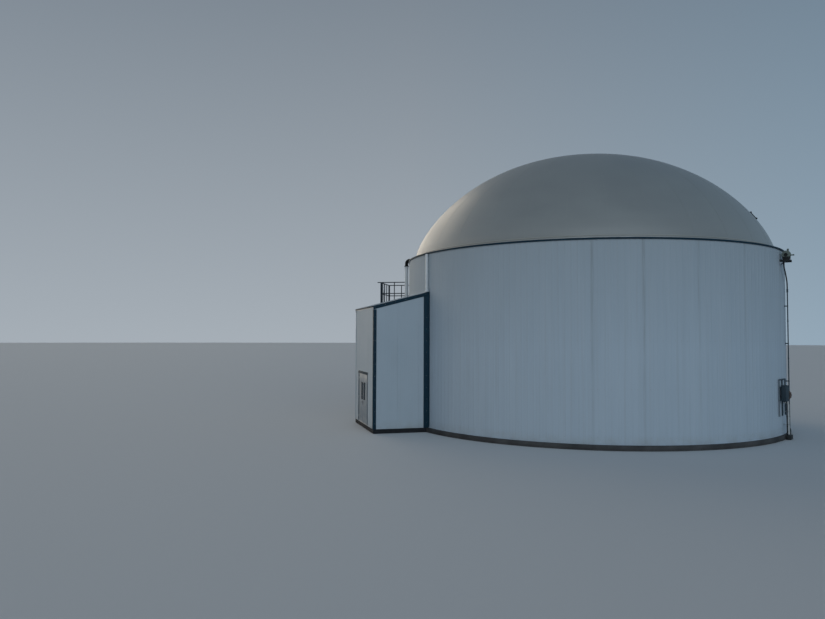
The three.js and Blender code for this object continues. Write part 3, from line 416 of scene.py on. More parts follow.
# %% Boxes, rods and turned shapes
UP = Vector((0, 0, 1))
GAP = 0.0003
ON_FOOTING = FOOT_HEIGHT + GAP
TANK_FACE = 8.26
ON_TANK = TANK_FACE + GAP


def bevel_edges(bm, edges, width, segments=2):
    bmesh.ops.bevel(
        bm, geom=list(edges), offset=width, segments=segments, profile=0.5,
        affect="EDGES", material=-1,
    )


def add_box(bm, corner, opposite, bevel=0.0, segments=2):
    """A box between two opposite corners, with its edges rounded off if a bevel is given."""
    low = Vector([min(pair) for pair in zip(corner, opposite)])
    high = Vector([max(pair) for pair in zip(corner, opposite)])
    place = Matrix.Translation((low + high) / 2) @ Matrix.Diagonal((*(high - low), 1))
    verts = bmesh.ops.create_cube(bm, size=1.0, matrix=place)["verts"]
    if bevel:
        bevel_edges(bm, {edge for vert in verts for edge in vert.link_edges}, bevel, segments)


def between_ends(start, end):
    """The middle of a bar, turned so that its own Z axis runs along it, and its length."""
    start, end = Vector(start), Vector(end)
    axis = end - start
    turned = axis.to_track_quat("Z", "Y").to_matrix().to_4x4()
    return Matrix.Translation((start + end) / 2) @ turned, axis.length


def add_rod(bm, start, end, radius, sides=16, end_radius=None):
    """A round bar from start to end, or a cone where the end has a radius of its own."""
    place, length = between_ends(start, end)
    bmesh.ops.create_cone(
        bm, cap_ends=True, cap_tris=False, segments=sides, radius1=radius,
        radius2=radius if end_radius is None else end_radius, depth=length, matrix=place,
    )


def add_bar(bm, start, end, size):
    """A square bar between two points, with its edges rounded off."""
    place, length = between_ends(start, end)
    place = place @ Matrix.Diagonal((size, size, length, 1))
    verts = bmesh.ops.create_cube(bm, size=1.0, matrix=place)["verts"]
    bevel_edges(bm, {edge for vert in verts for edge in vert.link_edges}, 0.004)


def verts_of(items):
    """Picks the vertices out of what an operator has made."""
    return [item for item in items if isinstance(item, bmesh.types.BMVert)]


def pull_line(bm, points, shift):
    """Joins the points by edges and pulls them along into a strip of faces."""
    verts = [bm.verts.new(point) for point in points]
    edges = [bm.edges.new(pair) for pair in zip(verts, verts[1:])]
    pulled = verts_of(bmesh.ops.extrude_edge_only(bm, edges=edges)["geom"])
    bmesh.ops.translate(bm, verts=pulled, vec=shift)


def pull_face(bm, outline, shift=(0, 0, 0)):
    """Fills an outline with a face, pulls it along into a solid and returns the pulled vertices."""
    face = bm.faces.new([bm.verts.new(point) for point in outline])
    pulled = verts_of(bmesh.ops.extrude_face_region(bm, geom=[face])["geom"])
    bmesh.ops.translate(bm, verts=pulled, vec=shift)
    return pulled


def add_turned(bm, profile, steps):
    """Spins (radius, height) points once round the Z axis, and merges the ends of the turn."""
    verts = [bm.verts.new((radius, 0, height)) for radius, height in profile]
    edges = [bm.edges.new(pair) for pair in zip(verts, verts[1:])]
    bmesh.ops.spin(
        bm, geom=verts + edges, cent=(0, 0, 0), axis=UP, angle=2 * math.pi, steps=steps,
        use_merge=True, use_duplicate=False,
    )
    bmesh.ops.remove_doubles(bm, verts=bm.verts, dist=1e-5)


def add_turned_at(bm, profile, steps, place):
    """Spins a profile in a bmesh of its own, and adds it at its place."""
    part = bmesh.new()
    add_turned(part, profile, steps)
    part.transform(place)
    mesh = bpy.data.meshes.new("turned")
    part.to_mesh(mesh)
    part.free()
    bm.from_mesh(mesh)
    bpy.data.meshes.remove(mesh)


def add_tube(bm, points, radius, sides=16):
    """A round tube through the points: one circle at each, bridged to the one before it."""
    points = [Vector(point) for point in points]
    directions = []
    for index in range(len(points)):
        before, after = points[max(index - 1, 0)], points[min(index + 1, len(points) - 1)]
        directions.append((after - before).normalized())
    turn = UP.rotation_difference(directions[0])
    rings = []
    for index, (point, direction) in enumerate(zip(points, directions)):
        if index:
            turn = directions[index - 1].rotation_difference(direction) @ turn
        place = Matrix.Translation(point) @ turn.to_matrix().to_4x4()
        cap = index in (0, len(points) - 1)
        ring = bmesh.ops.create_circle(
            bm, cap_ends=cap, segments=sides, radius=radius, matrix=place,
        )["verts"]
        rings.append(list({edge for vert in ring for edge in vert.link_edges}))
    for near, far in zip(rings, rings[1:]):
        bmesh.ops.bridge_loops(bm, edges=near + far)


def add_bolt(bm, place, outward, size):
    """A hexagon head on a washer, standing on a face whose outward direction is given."""
    place, outward = Vector(place), Vector(outward).normalized()
    add_rod(bm, place - outward * size * 0.2, place + outward * size * 0.15, size * 0.95, 10)
    add_rod(bm, place, place + outward * size * 0.65, size * 0.58, 6)


def spin_copies(bm, copies):
    """Repeats everything in the bmesh evenly round the tank's axis."""
    bmesh.ops.spin(
        bm, geom=bm.verts[:] + bm.edges[:] + bm.faces[:], cent=(0, 0, 0), axis=UP,
        angle=2 * math.pi * (copies - 1) / copies, steps=copies - 1, use_duplicate=True,
    )


def face_outwards(bm):
    """An open skin has no inside, so its faces are turned away from the tank's middle."""
    bm.normal_update()
    for face in bm.faces:
        centre = face.calc_center_median()
        away = centre - Vector((0, 0, min(centre.z, RIM_HEIGHT)))
        if face.normal.dot(away) < 0:
            face.normal_flip()


def keep(bm, name, slot, replaces=(), body="plant", turn=0.0, sharp=38.0, material=None, open_skin=False):
    """Turns a bmesh into a piece: normals, place, shading, finish and what it stands for.

    An open skin's rim edges are kept sharp, so that thickening it doesn't bend its shading."""
    if open_skin:
        face_outwards(bm)
    else:
        bmesh.ops.recalc_face_normals(bm, faces=bm.faces)
    if turn:
        turned = Matrix.Rotation(math.radians(turn), 3, "Z")
        bmesh.ops.rotate(bm, verts=bm.verts, cent=(0, 0, 0), matrix=turned)
    bm.edges.index_update()
    rims = [edge.index for edge in bm.edges if edge.is_boundary]
    mesh = bpy.data.meshes.new(name)
    bm.to_mesh(mesh)
    bm.free()
    mesh.shade_smooth()
    mesh.set_sharp_from_angle(angle=math.radians(sharp))
    for index in rims:
        mesh.edges[index].use_edge_sharp = True
    piece = add_object(name, mesh)
    mesh.materials.append(material or finishes[slot])
    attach(piece, body)
    if replaces:
        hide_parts(*replaces)
    print(f"{name}: {len(mesh.polygons)} faces")
    return piece


def thicken(piece, thickness):
    """Gives an open skin its thickness, inwards from the face that was drawn."""
    solid = piece.modifiers.new("thickness", "SOLIDIFY")
    solid.thickness = thickness
    solid.offset = -1.0


def repaint(node, *materials):
    """Gives a plain solid that stays in view a finish of its own."""
    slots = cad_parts[node].data.materials
    slots.clear()
    for material in materials:
        slots.append(material)


# %% [markdown]
# ## The wall sheets
# The wall is hung with ribbed steel sheets, each covering four ribs, and each sheet's edge laps
# over the next. Only one sheet is drawn, as a wavy line that is then pulled up to the rim, and
# copies of it are spun round the tank.

# %% Ribbed sheets round the tank
SHEETS = 57
RIBS_PER_SHEET = 4
FLAT_RADIUS = 8.2437
RIB_HEIGHT = 0.008
RIB_FOOT = 0.036
RIB_CREST = 0.012
MINOR_RIB = 0.0016
SHEET_STEEL = 0.001
LAP_STEP = 0.0013
LAP_WIDTH = 0.012
SHEET_FOOT = FOOT_HEIGHT + 0.012
SHEET_TOP = RIM_HEIGHT - 0.004
RUN_HALF_WIDTH = 0.55
RUNOFF = {
    -117.5: 0.85, -105.2: 1.0, -91.0: 0.55, -75.8: 0.7, -66.0: 0.35, -55.3: 0.8, -46.5: 0.75,
    150.0: 0.5, 20.0: 0.6, 75.0: 0.5,
}

pitch = 2 * math.pi * FLAT_RADIUS / (SHEETS * RIBS_PER_SHEET)


def rib_profile(width):
    """One rib and the flat beside it, as (distance along, height) points."""
    centre = width / 2
    points = [(0, 0), (centre - RIB_FOOT, 0), (centre - RIB_CREST, RIB_HEIGHT)]
    points += [(centre + RIB_CREST, RIB_HEIGHT), (centre + RIB_FOOT, 0)]
    for share in (0.12, 0.88):
        middle = width * share
        points += [(middle - 0.012, 0), (middle, MINOR_RIB), (middle + 0.012, 0)]
    return sorted(points)


def make_cladding():
    bm = bmesh.new()
    runoff = bm.verts.layers.float.new("runoff")
    line = []
    for rib in range(RIBS_PER_SHEET):
        line += [(rib * pitch + along, height) for along, height in rib_profile(pitch)]
    width = RIBS_PER_SHEET * pitch
    points = []
    for along, height in sorted(set(line)) + [(width + LAP_WIDTH, 0)]:
        reach = FLAT_RADIUS + height + LAP_STEP * along / width
        points.append(round_tank(math.degrees(along / FLAT_RADIUS), reach, SHEET_FOOT))
    pull_line(bm, points, (0, 0, SHEET_TOP - SHEET_FOOT))
    spin_copies(bm, SHEETS)
    for vert in bm.verts:
        angle = math.degrees(math.atan2(vert.co.y, vert.co.x))
        for place, share in RUNOFF.items():
            away = abs((angle - place + 180) % 360 - 180)
            vert[runoff] = max(vert[runoff], share * max(0.0, 1 - away / RUN_HALF_WIDTH))
    cladding = [f"cladding_{i}" for i in range(1, 5)]
    sheets = keep(bm, "cladding_sheets", "cladding", cladding, sharp=20, open_skin=True)
    thicken(sheets, SHEET_STEEL)


make_cladding()

# %% [markdown]
# ## Screws and flashings
# Each flat between ribs is screwed to five hidden rails. A white drip flashing closes the sheets'
# foot and throws rain clear of the footing, and a folded dark band caps the wall at the top.

# %% Screws, foot flashing and rim band
SCREW_ROWS = (0.42, 2.1, 3.8, 5.5, 7.22)


def make_cladding_screws():
    bm = bmesh.new()
    for height in SCREW_ROWS:
        place = Vector((FLAT_RADIUS + 0.002, 0, height))
        add_rod(bm, place, place + Vector((0.003, 0, 0)), 0.009, 8)
        add_rod(bm, place, place + Vector((0.0075, 0, 0)), 0.0055, 6)
    spin_copies(bm, SHEETS * RIBS_PER_SHEET)
    keep(bm, "cladding_screws", "galvanised_steel", turn=math.degrees(0.3 * pitch / FLAT_RADIUS))


def make_foot_flashing():
    bm = bmesh.new()
    low = FOOT_HEIGHT + 0.006
    bend = [
        (-0.001, 0.055), (0.022, 0.052), (0.024, 0.018), (0.05, 0), (0.049, -0.002), (0.0215, 0.014),
        (-0.001, 0.014), (-0.001, 0.055),
    ]
    add_turned(bm, [(FLAT_RADIUS + out, low + lift) for out, lift in bend], 288)
    keep(bm, "cladding_foot_flashing", "cladding")


def make_rim_band():
    bm = bmesh.new()
    outer = 8.288
    low, high = RIM_HEIGHT + 0.0005, 7.44
    add_turned(bm, [
        (7.88, low), (outer - 0.02, low), (outer - 0.012, low - 0.006), (outer - 0.002, low - 0.007),
        (outer, low + 0.004), (outer, high - 0.012), (outer - 0.004, high - 0.003), (outer - 0.014, high),
        (8.02, high + 0.001), (7.88, high), (7.88, low),
    ], 288)
    keep(bm, "rim_band", "dark_trim", ["rim_flashing"])
    bm = bmesh.new()
    add_box(bm, (outer - 0.01, -0.045, low), (outer + 0.003, 0.045, high - 0.004), 0.003)
    spin_copies(bm, 24)
    keep(bm, "rim_band_joint_covers", "dark_trim", turn=4)


make_cladding_screws()
make_foot_flashing()
make_rim_band()

# %% [markdown]
# ## The dome
# Air pressure stretches the fabric into a smooth cap, which is a little squarer than a sphere and
# leans slightly towards the annex. A superellipse gives that outline from two powers. The cloth
# is cut in gores, so narrow weld bands run from the clamp ring up to a round crown patch.

# %% Dome skin
DOME_RADIUS = 7.95
DOME_HEIGHT = 4.785
DOME_BASE = 7.412
DOME_RADIAL_POWER = 2.15
DOME_VERTICAL_POWER = 1.47
DOME_LEAN = 0.05
DOME_ROWS = 72
CLOTH = 0.003
GORES = 32
WELD_WIDTH = 0.05
WELD_PROUD = 0.0025
CROWN_PATCH = 0.9
RIM_TOP = 7.4405


def dome_point(turn, proud=0.0):
    """Radius and height of the skin, at an angle from 0 at the base to a quarter turn on top."""
    radius = DOME_RADIUS * math.cos(turn) ** (2 / DOME_RADIAL_POWER) if turn < math.pi / 2 else 0.0
    height = DOME_BASE + DOME_HEIGHT * math.sin(turn) ** (2 / DOME_VERTICAL_POWER)
    return radius, height + proud


foot_turn = math.asin(((RIM_TOP - DOME_BASE) / DOME_HEIGHT) ** (DOME_VERTICAL_POWER / 2))


def skin_radius(height):
    """How far out the skin is at this height."""
    turn = math.asin(((height - DOME_BASE) / DOME_HEIGHT) ** (DOME_VERTICAL_POWER / 2))
    return dome_point(turn)[0]


def lean(bm):
    """Above its clamped foot, the whole dome stands a little towards the annex."""
    for vert in bm.verts:
        share = min(1.0, (vert.co.z - RIM_TOP) / 0.4)
        vert.co.x -= DOME_LEAN * max(0.0, share)


def make_dome():
    bm = bmesh.new()
    turns = [foot_turn + (math.pi / 2 - foot_turn) * row / DOME_ROWS for row in range(DOME_ROWS + 1)]
    profile = [dome_point(turn) for turn in turns]
    add_turned(bm, profile, 216)
    lean(bm)
    area = sum(face.calc_area() for face in bm.faces)
    plain = ["dome_crown"] + [f"dome_gore_{i}" for i in range(1, 5)]
    dome = keep(bm, "dome_membrane", "membrane", plain, sharp=60, open_skin=True)
    thicken(dome, CLOTH)
    print("dome skin:", round(area, 1), "square metres")


def make_dome_welds():
    bm = bmesh.new()
    low = foot_turn + 0.02
    turns = [low + (math.pi / 2 - low) * row / 40 for row in range(41)]
    points = [dome_point(turn, WELD_PROUD) for turn in turns]
    points = [
        (radius + WELD_PROUD, -WELD_WIDTH / 2, height)
        for radius, height in points if radius > CROWN_PATCH - 0.03
    ]
    pull_line(bm, points, (0, WELD_WIDTH, 0))
    spin_copies(bm, GORES)
    start = math.acos((CROWN_PATCH / DOME_RADIUS) ** (DOME_RADIAL_POWER / 2))
    ring = [dome_point(turn, 2 * WELD_PROUD) for turn in (start - 0.0075, start, start + 0.0075)]
    add_turned(bm, ring, 144)
    lean(bm)
    welds = keep(bm, "dome_weld_bands", "membrane", sharp=60, material=weld_fabric, open_skin=True)
    thicken(welds, CLOTH)


def make_dome_hem():
    """The welded rope hem: a thin pale line a hand above the clamp rail."""
    bm = bmesh.new()
    height = RIM_TOP + 0.12
    radius = skin_radius(height)
    angles = [2 * math.pi * step / 10 for step in range(10)]
    loop = [(radius - 0.004 + 0.017 * math.cos(a), height + 0.024 * math.sin(a)) for a in angles]
    add_turned(bm, loop + loop[:1], 216)
    lean(bm)
    keep(bm, "dome_hem", "membrane", sharp=60, material=hem_fabric)


weld_fabric = make_membrane("dome_weld_fabric", rgb(0.26, 0.273, 0.27), rgb(0.283, 0.297, 0.293))
hem_fabric = make_membrane("dome_hem_fabric", rgb(0.31, 0.31, 0.285), rgb(0.37, 0.365, 0.33))
make_dome()
make_dome_welds()
make_dome_hem()


# %% [markdown]
# A zinc clamp rail bolts the dome's hem down to the rim. It is the thin pale line that shows just
# above the dark band.

# %% Clamp rail round the dome's foot
def make_clamp_rail():
    bm = bmesh.new()
    add_turned(bm, [
        (7.955, RIM_TOP), (8.03, RIM_TOP), (8.03, 7.452), (7.966, 7.454),
        (7.962, 7.492), (7.955, 7.493), (7.955, RIM_TOP),
    ], 216)
    keep(bm, "dome_clamp_rail", "galvanised_steel")
    bm = bmesh.new()
    add_bolt(bm, (8.0, 0, 7.453), UP, 0.013)
    spin_copies(bm, 120)
    keep(bm, "dome_clamp_bolts", "galvanised_steel")


make_clamp_rail()

# %% [markdown]
# ## The sight port
# A round port near the dome's right edge lets people look at the gas store's level. It is a
# clamped ring with a glass in the middle, and two lugs for a harness, above and below it.

# %% Sight port on the dome
PORT_ANGLE = 312.5
PORT_RADIUS = 0.205


def make_sight_port():
    port_low, port_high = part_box("dome_sight_port")
    middle = (port_low + port_high) / 2
    height = middle.z
    radius = skin_radius(height)
    slope = math.atan2(skin_radius(height - 0.1) - skin_radius(height + 0.1), 0.2)
    facing = Matrix.Translation((radius, 0, height)) @ Matrix.Rotation(math.pi / 2 - slope, 4, "Y")
    bm = bmesh.new()
    add_turned(bm, [
        (0.118, -0.02), (0.118, 0.022), (0.124, 0.026), (0.15, 0.027), (0.158, 0.02), (0.19, 0.018),
        (0.203, 0.012), (PORT_RADIUS, 0.006), (PORT_RADIUS, -0.02), (0.118, -0.02),
    ], 48)
    for step in range(12):
        angle = math.pi * step / 6
        add_bolt(bm, (0.174 * math.cos(angle), 0.174 * math.sin(angle), 0.02), UP, 0.011)
    for side in (-1, 1):
        add_box(bm, (side * 0.172 - 0.03, -0.012, -0.01), (side * 0.172 + 0.03, 0.012, 0.056), 0.006)
        add_box(bm, (side * 0.172 - 0.034, -0.03, 0.0), (side * 0.172 + 0.034, 0.03, 0.026), 0.004)
    bm.transform(facing)
    ring = keep(bm, "sight_port_ring", "black_plastic", ["dome_sight_port"], turn=PORT_ANGLE)
    bm = bmesh.new()
    add_turned(bm, [(0.0, 0.017), (0.06, 0.016), (0.12, 0.012), (0.12, 0.004), (0.0, 0.004)], 32)
    bm.transform(facing)
    glass = keep(bm, "sight_port_glass", "window_glass", turn=PORT_ANGLE)
    for piece in (ring, glass):
        piece.data.transform(Matrix.Translation((-DOME_LEAN, 0, 0)))
    print("sight port at", [round(value, 2) for value in middle])


make_sight_port()

# %% [markdown]
# ## The footing
# A cast ring carries the tank. Its top edge was tooled round and its face shows where the boards
# of the formwork met, so a shallow groove runs down it every few metres.

# %% Footing
FOOTING_RADIUS = 8.386


def make_footing():
    bm = bmesh.new()
    add_turned(bm, [
        (0.0, 0.0), (FOOTING_RADIUS - 0.004, 0.0), (FOOTING_RADIUS, 0.02), (FOOTING_RADIUS, 0.162),
        (FOOTING_RADIUS - 0.005, 0.174), (FOOTING_RADIUS - 0.018, 0.18), (0.0, 0.18),
    ], 216)
    for vert in bm.verts:
        out = Vector((vert.co.x, vert.co.y, 0))
        if out.length > 8:
            angle = math.atan2(out.y, out.x)
            board = 0.003 if round(math.degrees(angle) / 1.6667) % 9 == 0 else 0.0
            wave = 0.0015 * math.sin(23 * angle) + 0.001 * math.sin(57 * angle)
            vert.co -= out.normalized() * (board + 0.0025 + wave)
    keep(bm, "footing_ring", "concrete", ["foundation_slab"], sharp=25)


make_footing()

# %% [markdown]
# A few plain solids stay in view as they are and only get a finish. The annex slab's sides are
# painted near-black, which is painted shadow, while its top keeps the plain concrete. Each face can
# pick one of the object's materials by its index. The tank's wall behind the sheets is bare
# concrete.

# %% Annex slab and tank wall
# Painted shadow: the slab's sides get a near-black finish that stands for the shadow they lie in.
slab_side_painted_shadow = make_plain_paint(
    "slab_side_painted_shadow", rgb(0.014, 0.015, 0.018), rgb(0.025, 0.026, 0.029), 0.85, dust=0.0, gloss=0.2,
)
repaint("annex_floor", slab_side_painted_shadow, finishes["concrete"])
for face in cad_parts["annex_floor"].data.polygons:
    face.material_index = 1 if face.normal.z > 0.5 else 0
for number in range(1, 9):
    repaint(f"tank_wall_{number}", finishes["concrete"])
print("finished the annex slab and 8 wall segments")

# %% [markdown]
# ## Annex walls
# The annex is a lean-to of insulated panels. Seen from above, each wall is one closed outline
# with a fine groove where two panels meet and a hair-thin rib between. That outline is pulled up
# from the floor and then cut off along the slope of the roof.

# %% Insulated wall panels
ROOF_SLOPE = 0.262
ANNEX_FRONT = -10.45
ROOF_TOP_AT_FRONT = 5.19
ROOF_THICKNESS = 0.1
ABOVE_THE_ROOF = 6.2
PANEL_WIDTH = 0.9
PANEL_THICKNESS = 0.1
PANEL_GROOVE = 0.006
PANEL_RIB = 0.0012
RIBS_PER_PANEL = 10


def roof_top(x):
    return ROOF_TOP_AT_FRONT + ROOF_SLOPE * (x - ANNEX_FRONT)


def panel_line(length):
    """(along, depth) points of one wall's outer face: grooves at the joints, ribs between."""
    points = [(0.0, 0.0)]
    along = PANEL_WIDTH / RIBS_PER_PANEL
    rib = 1
    while along < length - 0.02:
        if rib % RIBS_PER_PANEL == 0:
            groove = ((-0.005, 0), (-0.003, PANEL_GROOVE), (0.003, PANEL_GROOVE), (0.005, 0))
            points += [(along + aside, depth) for aside, depth in groove]
        else:
            points += [(along - 0.009, 0), (along, PANEL_RIB), (along + 0.009, 0)]
        along += PANEL_WIDTH / RIBS_PER_PANEL
        rib += 1
    return points + [(length, 0.0)]


def make_wall(node, name, corner, direction, outward, length):
    """A wall along a direction from a corner of its foot; its face looks outward, its back is flat."""
    corner, direction, outward = Vector(corner), Vector(direction), Vector(outward)
    bm = bmesh.new()
    outline = [corner + direction * along - outward * depth for along, depth in panel_line(length)]
    outline += [corner + direction * along - outward * PANEL_THICKNESS for along in (length, 0.0)]
    pull_face(bm, outline, (0, 0, ABOVE_THE_ROOF - corner.z))
    slope = Vector((-ROOF_SLOPE, 0, 1)).normalized()
    under = Vector((ANNEX_FRONT, 0, ROOF_TOP_AT_FRONT - ROOF_THICKNESS - GAP))
    cut = bmesh.ops.bisect_plane(
        bm, geom=bm.verts[:] + bm.edges[:] + bm.faces[:], plane_co=under, plane_no=slope,
        clear_outer=True, dist=1e-6,
    )["geom_cut"]
    rim = [item for item in cut if isinstance(item, bmesh.types.BMEdge)]
    if rim:
        bmesh.ops.contextual_create(bm, geom=rim)
    keep(bm, name, "siding", [node], sharp=20)


def make_annex_walls():
    for side, out in (("right", -1), ("left", 1)):
        node = f"annex_side_wall_{side}"
        low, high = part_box(node)
        corner = (low.x, low.y if out < 0 else high.y, low.z)
        make_wall(node, f"annex_{side}_panels", corner, (1, 0, 0), (0, out, 0), high.x - low.x)
    for node, name in (
        ("annex_front_wall_right", "annex_front_panels_right"),
        ("annex_front_wall_left", "annex_front_panels_left"),
        ("annex_front_wall_over_door", "annex_panels_over_door"),
    ):
        low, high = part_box(node)
        make_wall(node, name, low, (0, 1, 0), (-1, 0, 0), high.y - low.y)


make_annex_walls()

# %% [markdown]
# ## Annex roof
# Trapezoidal sheets run down the slope from the tank to the eave. The ribs are drawn once across
# the roof, pulled along the slope, and every point at the upper end is slid to the tank's curve.

# %% Ribbed roof and its flashing against the tank
ROOF_RIB_PITCH = 0.262
ROOF_RIB_HEIGHT = 0.03


def tank_x(y):
    """Where a line along X meets the tank's cladding, less three gaps."""
    return -math.sqrt((TANK_FACE + 3 * GAP) ** 2 - y * y)


def make_roof():
    low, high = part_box("annex_roof")
    bm = bmesh.new()
    section = [(low.y, 0.0)]
    y = low.y + 0.13
    while y < high.y - 0.06:
        section += [(y - 0.034, 0), (y - 0.014, ROOF_RIB_HEIGHT)]
        section += [(y + 0.014, ROOF_RIB_HEIGHT), (y + 0.034, 0)]
        for share in (0.35, 0.65):
            middle = y + ROOF_RIB_PITCH * share
            if middle < high.y - 0.03:
                section += [(middle - 0.008, 0), (middle, 0.003), (middle + 0.008, 0)]
        y += ROOF_RIB_PITCH
    section += [(high.y, 0.0)]
    below = [(y, ROOF_RIB_HEIGHT - ROOF_THICKNESS) for y, _ in reversed(section)]
    for vert in pull_face(bm, [(low.x, y, lift) for y, lift in section + below]):
        vert.co.x = tank_x(vert.co.y)
    for vert in bm.verts:
        vert.co.z += roof_top(vert.co.x) - ROOF_RIB_HEIGHT
    keep(bm, "annex_roof_sheets", "roof_sheet", ["annex_roof"], sharp=20)


def make_roof_flashing():
    """An upstand against the tank, bent over the upper ends of the roof sheets."""
    low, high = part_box("annex_roof")
    bm = bmesh.new()
    across = 48
    bend = [
        (-0.002, 0.16), (-0.004, 0.03), (-0.02, 0.006), (-0.17, 0.004), (-0.175, -0.006),
        (-0.173, -0.006), (-0.168, 0.001), (-0.018, 0.003), (-0.001, 0.028), (-0.0005, 0.16),
    ]
    bmesh.ops.create_grid(bm, x_segments=across, y_segments=len(bend) - 1, size=0.5)
    for vert in bm.verts:
        y = low.y + 0.004 + (vert.co.x + 0.5) * (high.y - low.y - 0.008)
        back, lift = bend[round((vert.co.y + 0.5) * (len(bend) - 1))]
        x = tank_x(y) + back
        vert.co = Vector((x, y, roof_top(x) + lift))
    bmesh.ops.remove_doubles(bm, verts=bm.verts, dist=1e-5)
    keep(bm, "annex_headwall_flashing", "siding", sharp=25)


make_roof()
make_roof_flashing()

# %% [markdown]
# ## Copying a plain solid and softening it
# Folded trims have crisp edges with a small radius. For those the plain solid is right, so it is
# copied, its loose triangles are merged and joined into flat faces, and its edges are rounded.

# %% Trims made from the plain solids
DOOR_RIGHT = -0.43
DOOR_LEFT = 1.47
JAMBS = ((DOOR_RIGHT, -1), (DOOR_LEFT, 1))
TRIM_SCREW = 0.008
TRIM_FRONT = -10.4653
TRIM_SIDES = ((-1.6453, -1, -8.22), (2.3153, 1, -8.05))


def copy_of(node):
    bm = bmesh.new()
    bm.from_mesh(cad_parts[node].data)
    bmesh.ops.remove_doubles(bm, verts=bm.verts, dist=1e-4)
    bmesh.ops.dissolve_limit(bm, angle_limit=math.radians(1), verts=bm.verts, edges=bm.edges)
    return bm


def round_edges(bm, width):
    """Rounds every corner of the solid, and stops where two roundings would meet."""
    corners = [edge for edge in bm.edges if len(edge.link_faces) == 2 and edge.calc_face_angle() > 0.5]
    bmesh.ops.bevel(
        bm, geom=corners, offset=width, segments=2, profile=0.5, affect="EDGES",
        material=-1, clamp_overlap=True,
    )


def make_trims():
    names = ["annex_eave_fascia"]
    for side in ("right", "left"):
        names += [f"annex_{kind}_trim_{side}" for kind in ("rake", "corner", "junction")]
    for name in names:
        bm = copy_of(name)
        round_edges(bm, 0.003)
        slot = "siding" if name == "annex_corner_trim_left" else "dark_trim"
        keep(bm, name.replace("annex", "folded"), slot, [name])


def make_trim_screws():
    """Screws up both corner trims and both junction trims, and along both rakes."""
    bm = bmesh.new()
    for y, out, junction in TRIM_SIDES:
        for step in range(10):
            height = 0.4 + step * 0.48
            add_bolt(bm, (-10.392, y, height), (0, out, 0), TRIM_SCREW)
            add_bolt(bm, (TRIM_FRONT, y - out * 0.073, height), (-1, 0, 0), TRIM_SCREW)
            add_bolt(bm, (junction, y, height), (0, out, 0), TRIM_SCREW)
        for step in range(6):
            x = -10.4 + step * 0.43
            add_bolt(bm, (x, y, roof_top(x) - 0.085), (0, out, 0), TRIM_SCREW)
    keep(bm, "trim_screws", "galvanised_steel")


def make_annex_foot():
    """A pale drip flashing closes the panels' foot, over a dark shadow gap."""
    bm = bmesh.new()
    low, high = 0.184, 0.236
    add_box(bm, (-10.3345, -1.6465, low), (-8.352, -1.6302, high), 0.002)
    add_box(bm, (-10.3345, 2.3002, low), (-8.19, 2.3165, high), 0.002)
    add_box(bm, (-10.4665, -1.512, low), (-10.4502, DOOR_RIGHT - 0.084, high), 0.002)
    add_box(bm, (-10.4665, DOOR_LEFT + 0.084, low), (-10.4502, 2.182, high), 0.002)
    keep(bm, "annex_foot_flashing", "siding")


make_trims()
make_trim_screws()
make_annex_foot()

# %% [markdown]
# ## The double door
# Two grey steel leaves hang in a frame almost flush with the wall. The flashing over the head is
# dark, and dark strips on the jambs' casings are painted shade. Each leaf has a tall narrow pane
# beside the edge where the two meet. A hinge is a barrel of two knuckles, one on the frame and one
# on the leaf, so the leaf's knuckles are a piece of their own and swing with it.

# %% Door frame
DOOR_SILL = 0.205
DOOR_HEAD = 2.3
CASING_FRONT = -10.465
LEAF_FACE = -10.445
LEAF_BACK = -10.40
STOP_FRONT = LEAF_BACK + 0.006
FRAME_BACK = -10.35
WALL_FRONT = ANNEX_FRONT - GAP
JAMB = 0.05
CASING = 0.08
STOP = 0.016
HINGE_X = -10.458
HINGE_HEIGHTS = (0.42, 1.25, 2.08)
KNUCKLE = 0.055


def make_door_frame():
    """Jambs and head, each with its casing on the wall and the stop that the leaves close on."""
    bm = bmesh.new()
    front = CASING_FRONT + 0.001
    casing_top = DOOR_HEAD + CASING
    for jamb, out in JAMBS:
        add_box(bm, (front, jamb, ON_FOOTING), (FRAME_BACK, jamb + out * JAMB, DOOR_HEAD + 0.02), 0.002)
        add_box(bm, (CASING_FRONT, jamb, ON_FOOTING), (WALL_FRONT, jamb + out * CASING, casing_top), 0.003)
        add_box(bm, (STOP_FRONT, jamb, DOOR_SILL), (FRAME_BACK, jamb - out * STOP, DOOR_HEAD), 0.001)
    for low, high, bevel in (
        ((front, DOOR_RIGHT - JAMB, DOOR_HEAD), (FRAME_BACK, DOOR_LEFT + JAMB, DOOR_HEAD + JAMB), 0.002),
        ((CASING_FRONT, DOOR_RIGHT - 0.001, DOOR_HEAD), (WALL_FRONT, DOOR_LEFT + 0.001, casing_top), 0.003),
        ((STOP_FRONT, DOOR_RIGHT, DOOR_HEAD - STOP), (FRAME_BACK, DOOR_LEFT, DOOR_HEAD), 0.001),
    ):
        add_box(bm, low, high, bevel)
    keep(bm, "door_frame_folded", "door_paint", ["door_frame"])


def make_head_flashing():
    """A boxed dark strip over the door, with a leg back to the wall and an upstand behind it."""
    low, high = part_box("door_head_flashing")
    upstand = (WALL_FRONT, high.y, high.z + 0.024)
    bm = bmesh.new()
    add_box(bm, low, high, 0.002)
    add_box(bm, (low.x, low.y, DOOR_HEAD + 0.0805), (WALL_FRONT, high.y, high.z), 0.001, 1)
    add_box(bm, (WALL_FRONT - 0.002, low.y, high.z - 0.001), upstand, 0.0005, 1)
    keep(bm, "head_flashing_folded", "dark_trim", ["door_head_flashing"])
    # Painted shade: dark strips on the outer legs of the jamb casings stand for the shade line beside the
    # jambs.
    bm = bmesh.new()
    front, back, top = CASING_FRONT - 0.002, CASING_FRONT + 0.001, low.z - 0.0005
    for jamb, out in JAMBS:
        add_box(bm, (front, jamb + out * 0.03, ON_FOOTING), (back, jamb + out * CASING, top), 0.001, 1)
    keep(bm, "jamb_painted_shade_strips", "dark_trim")


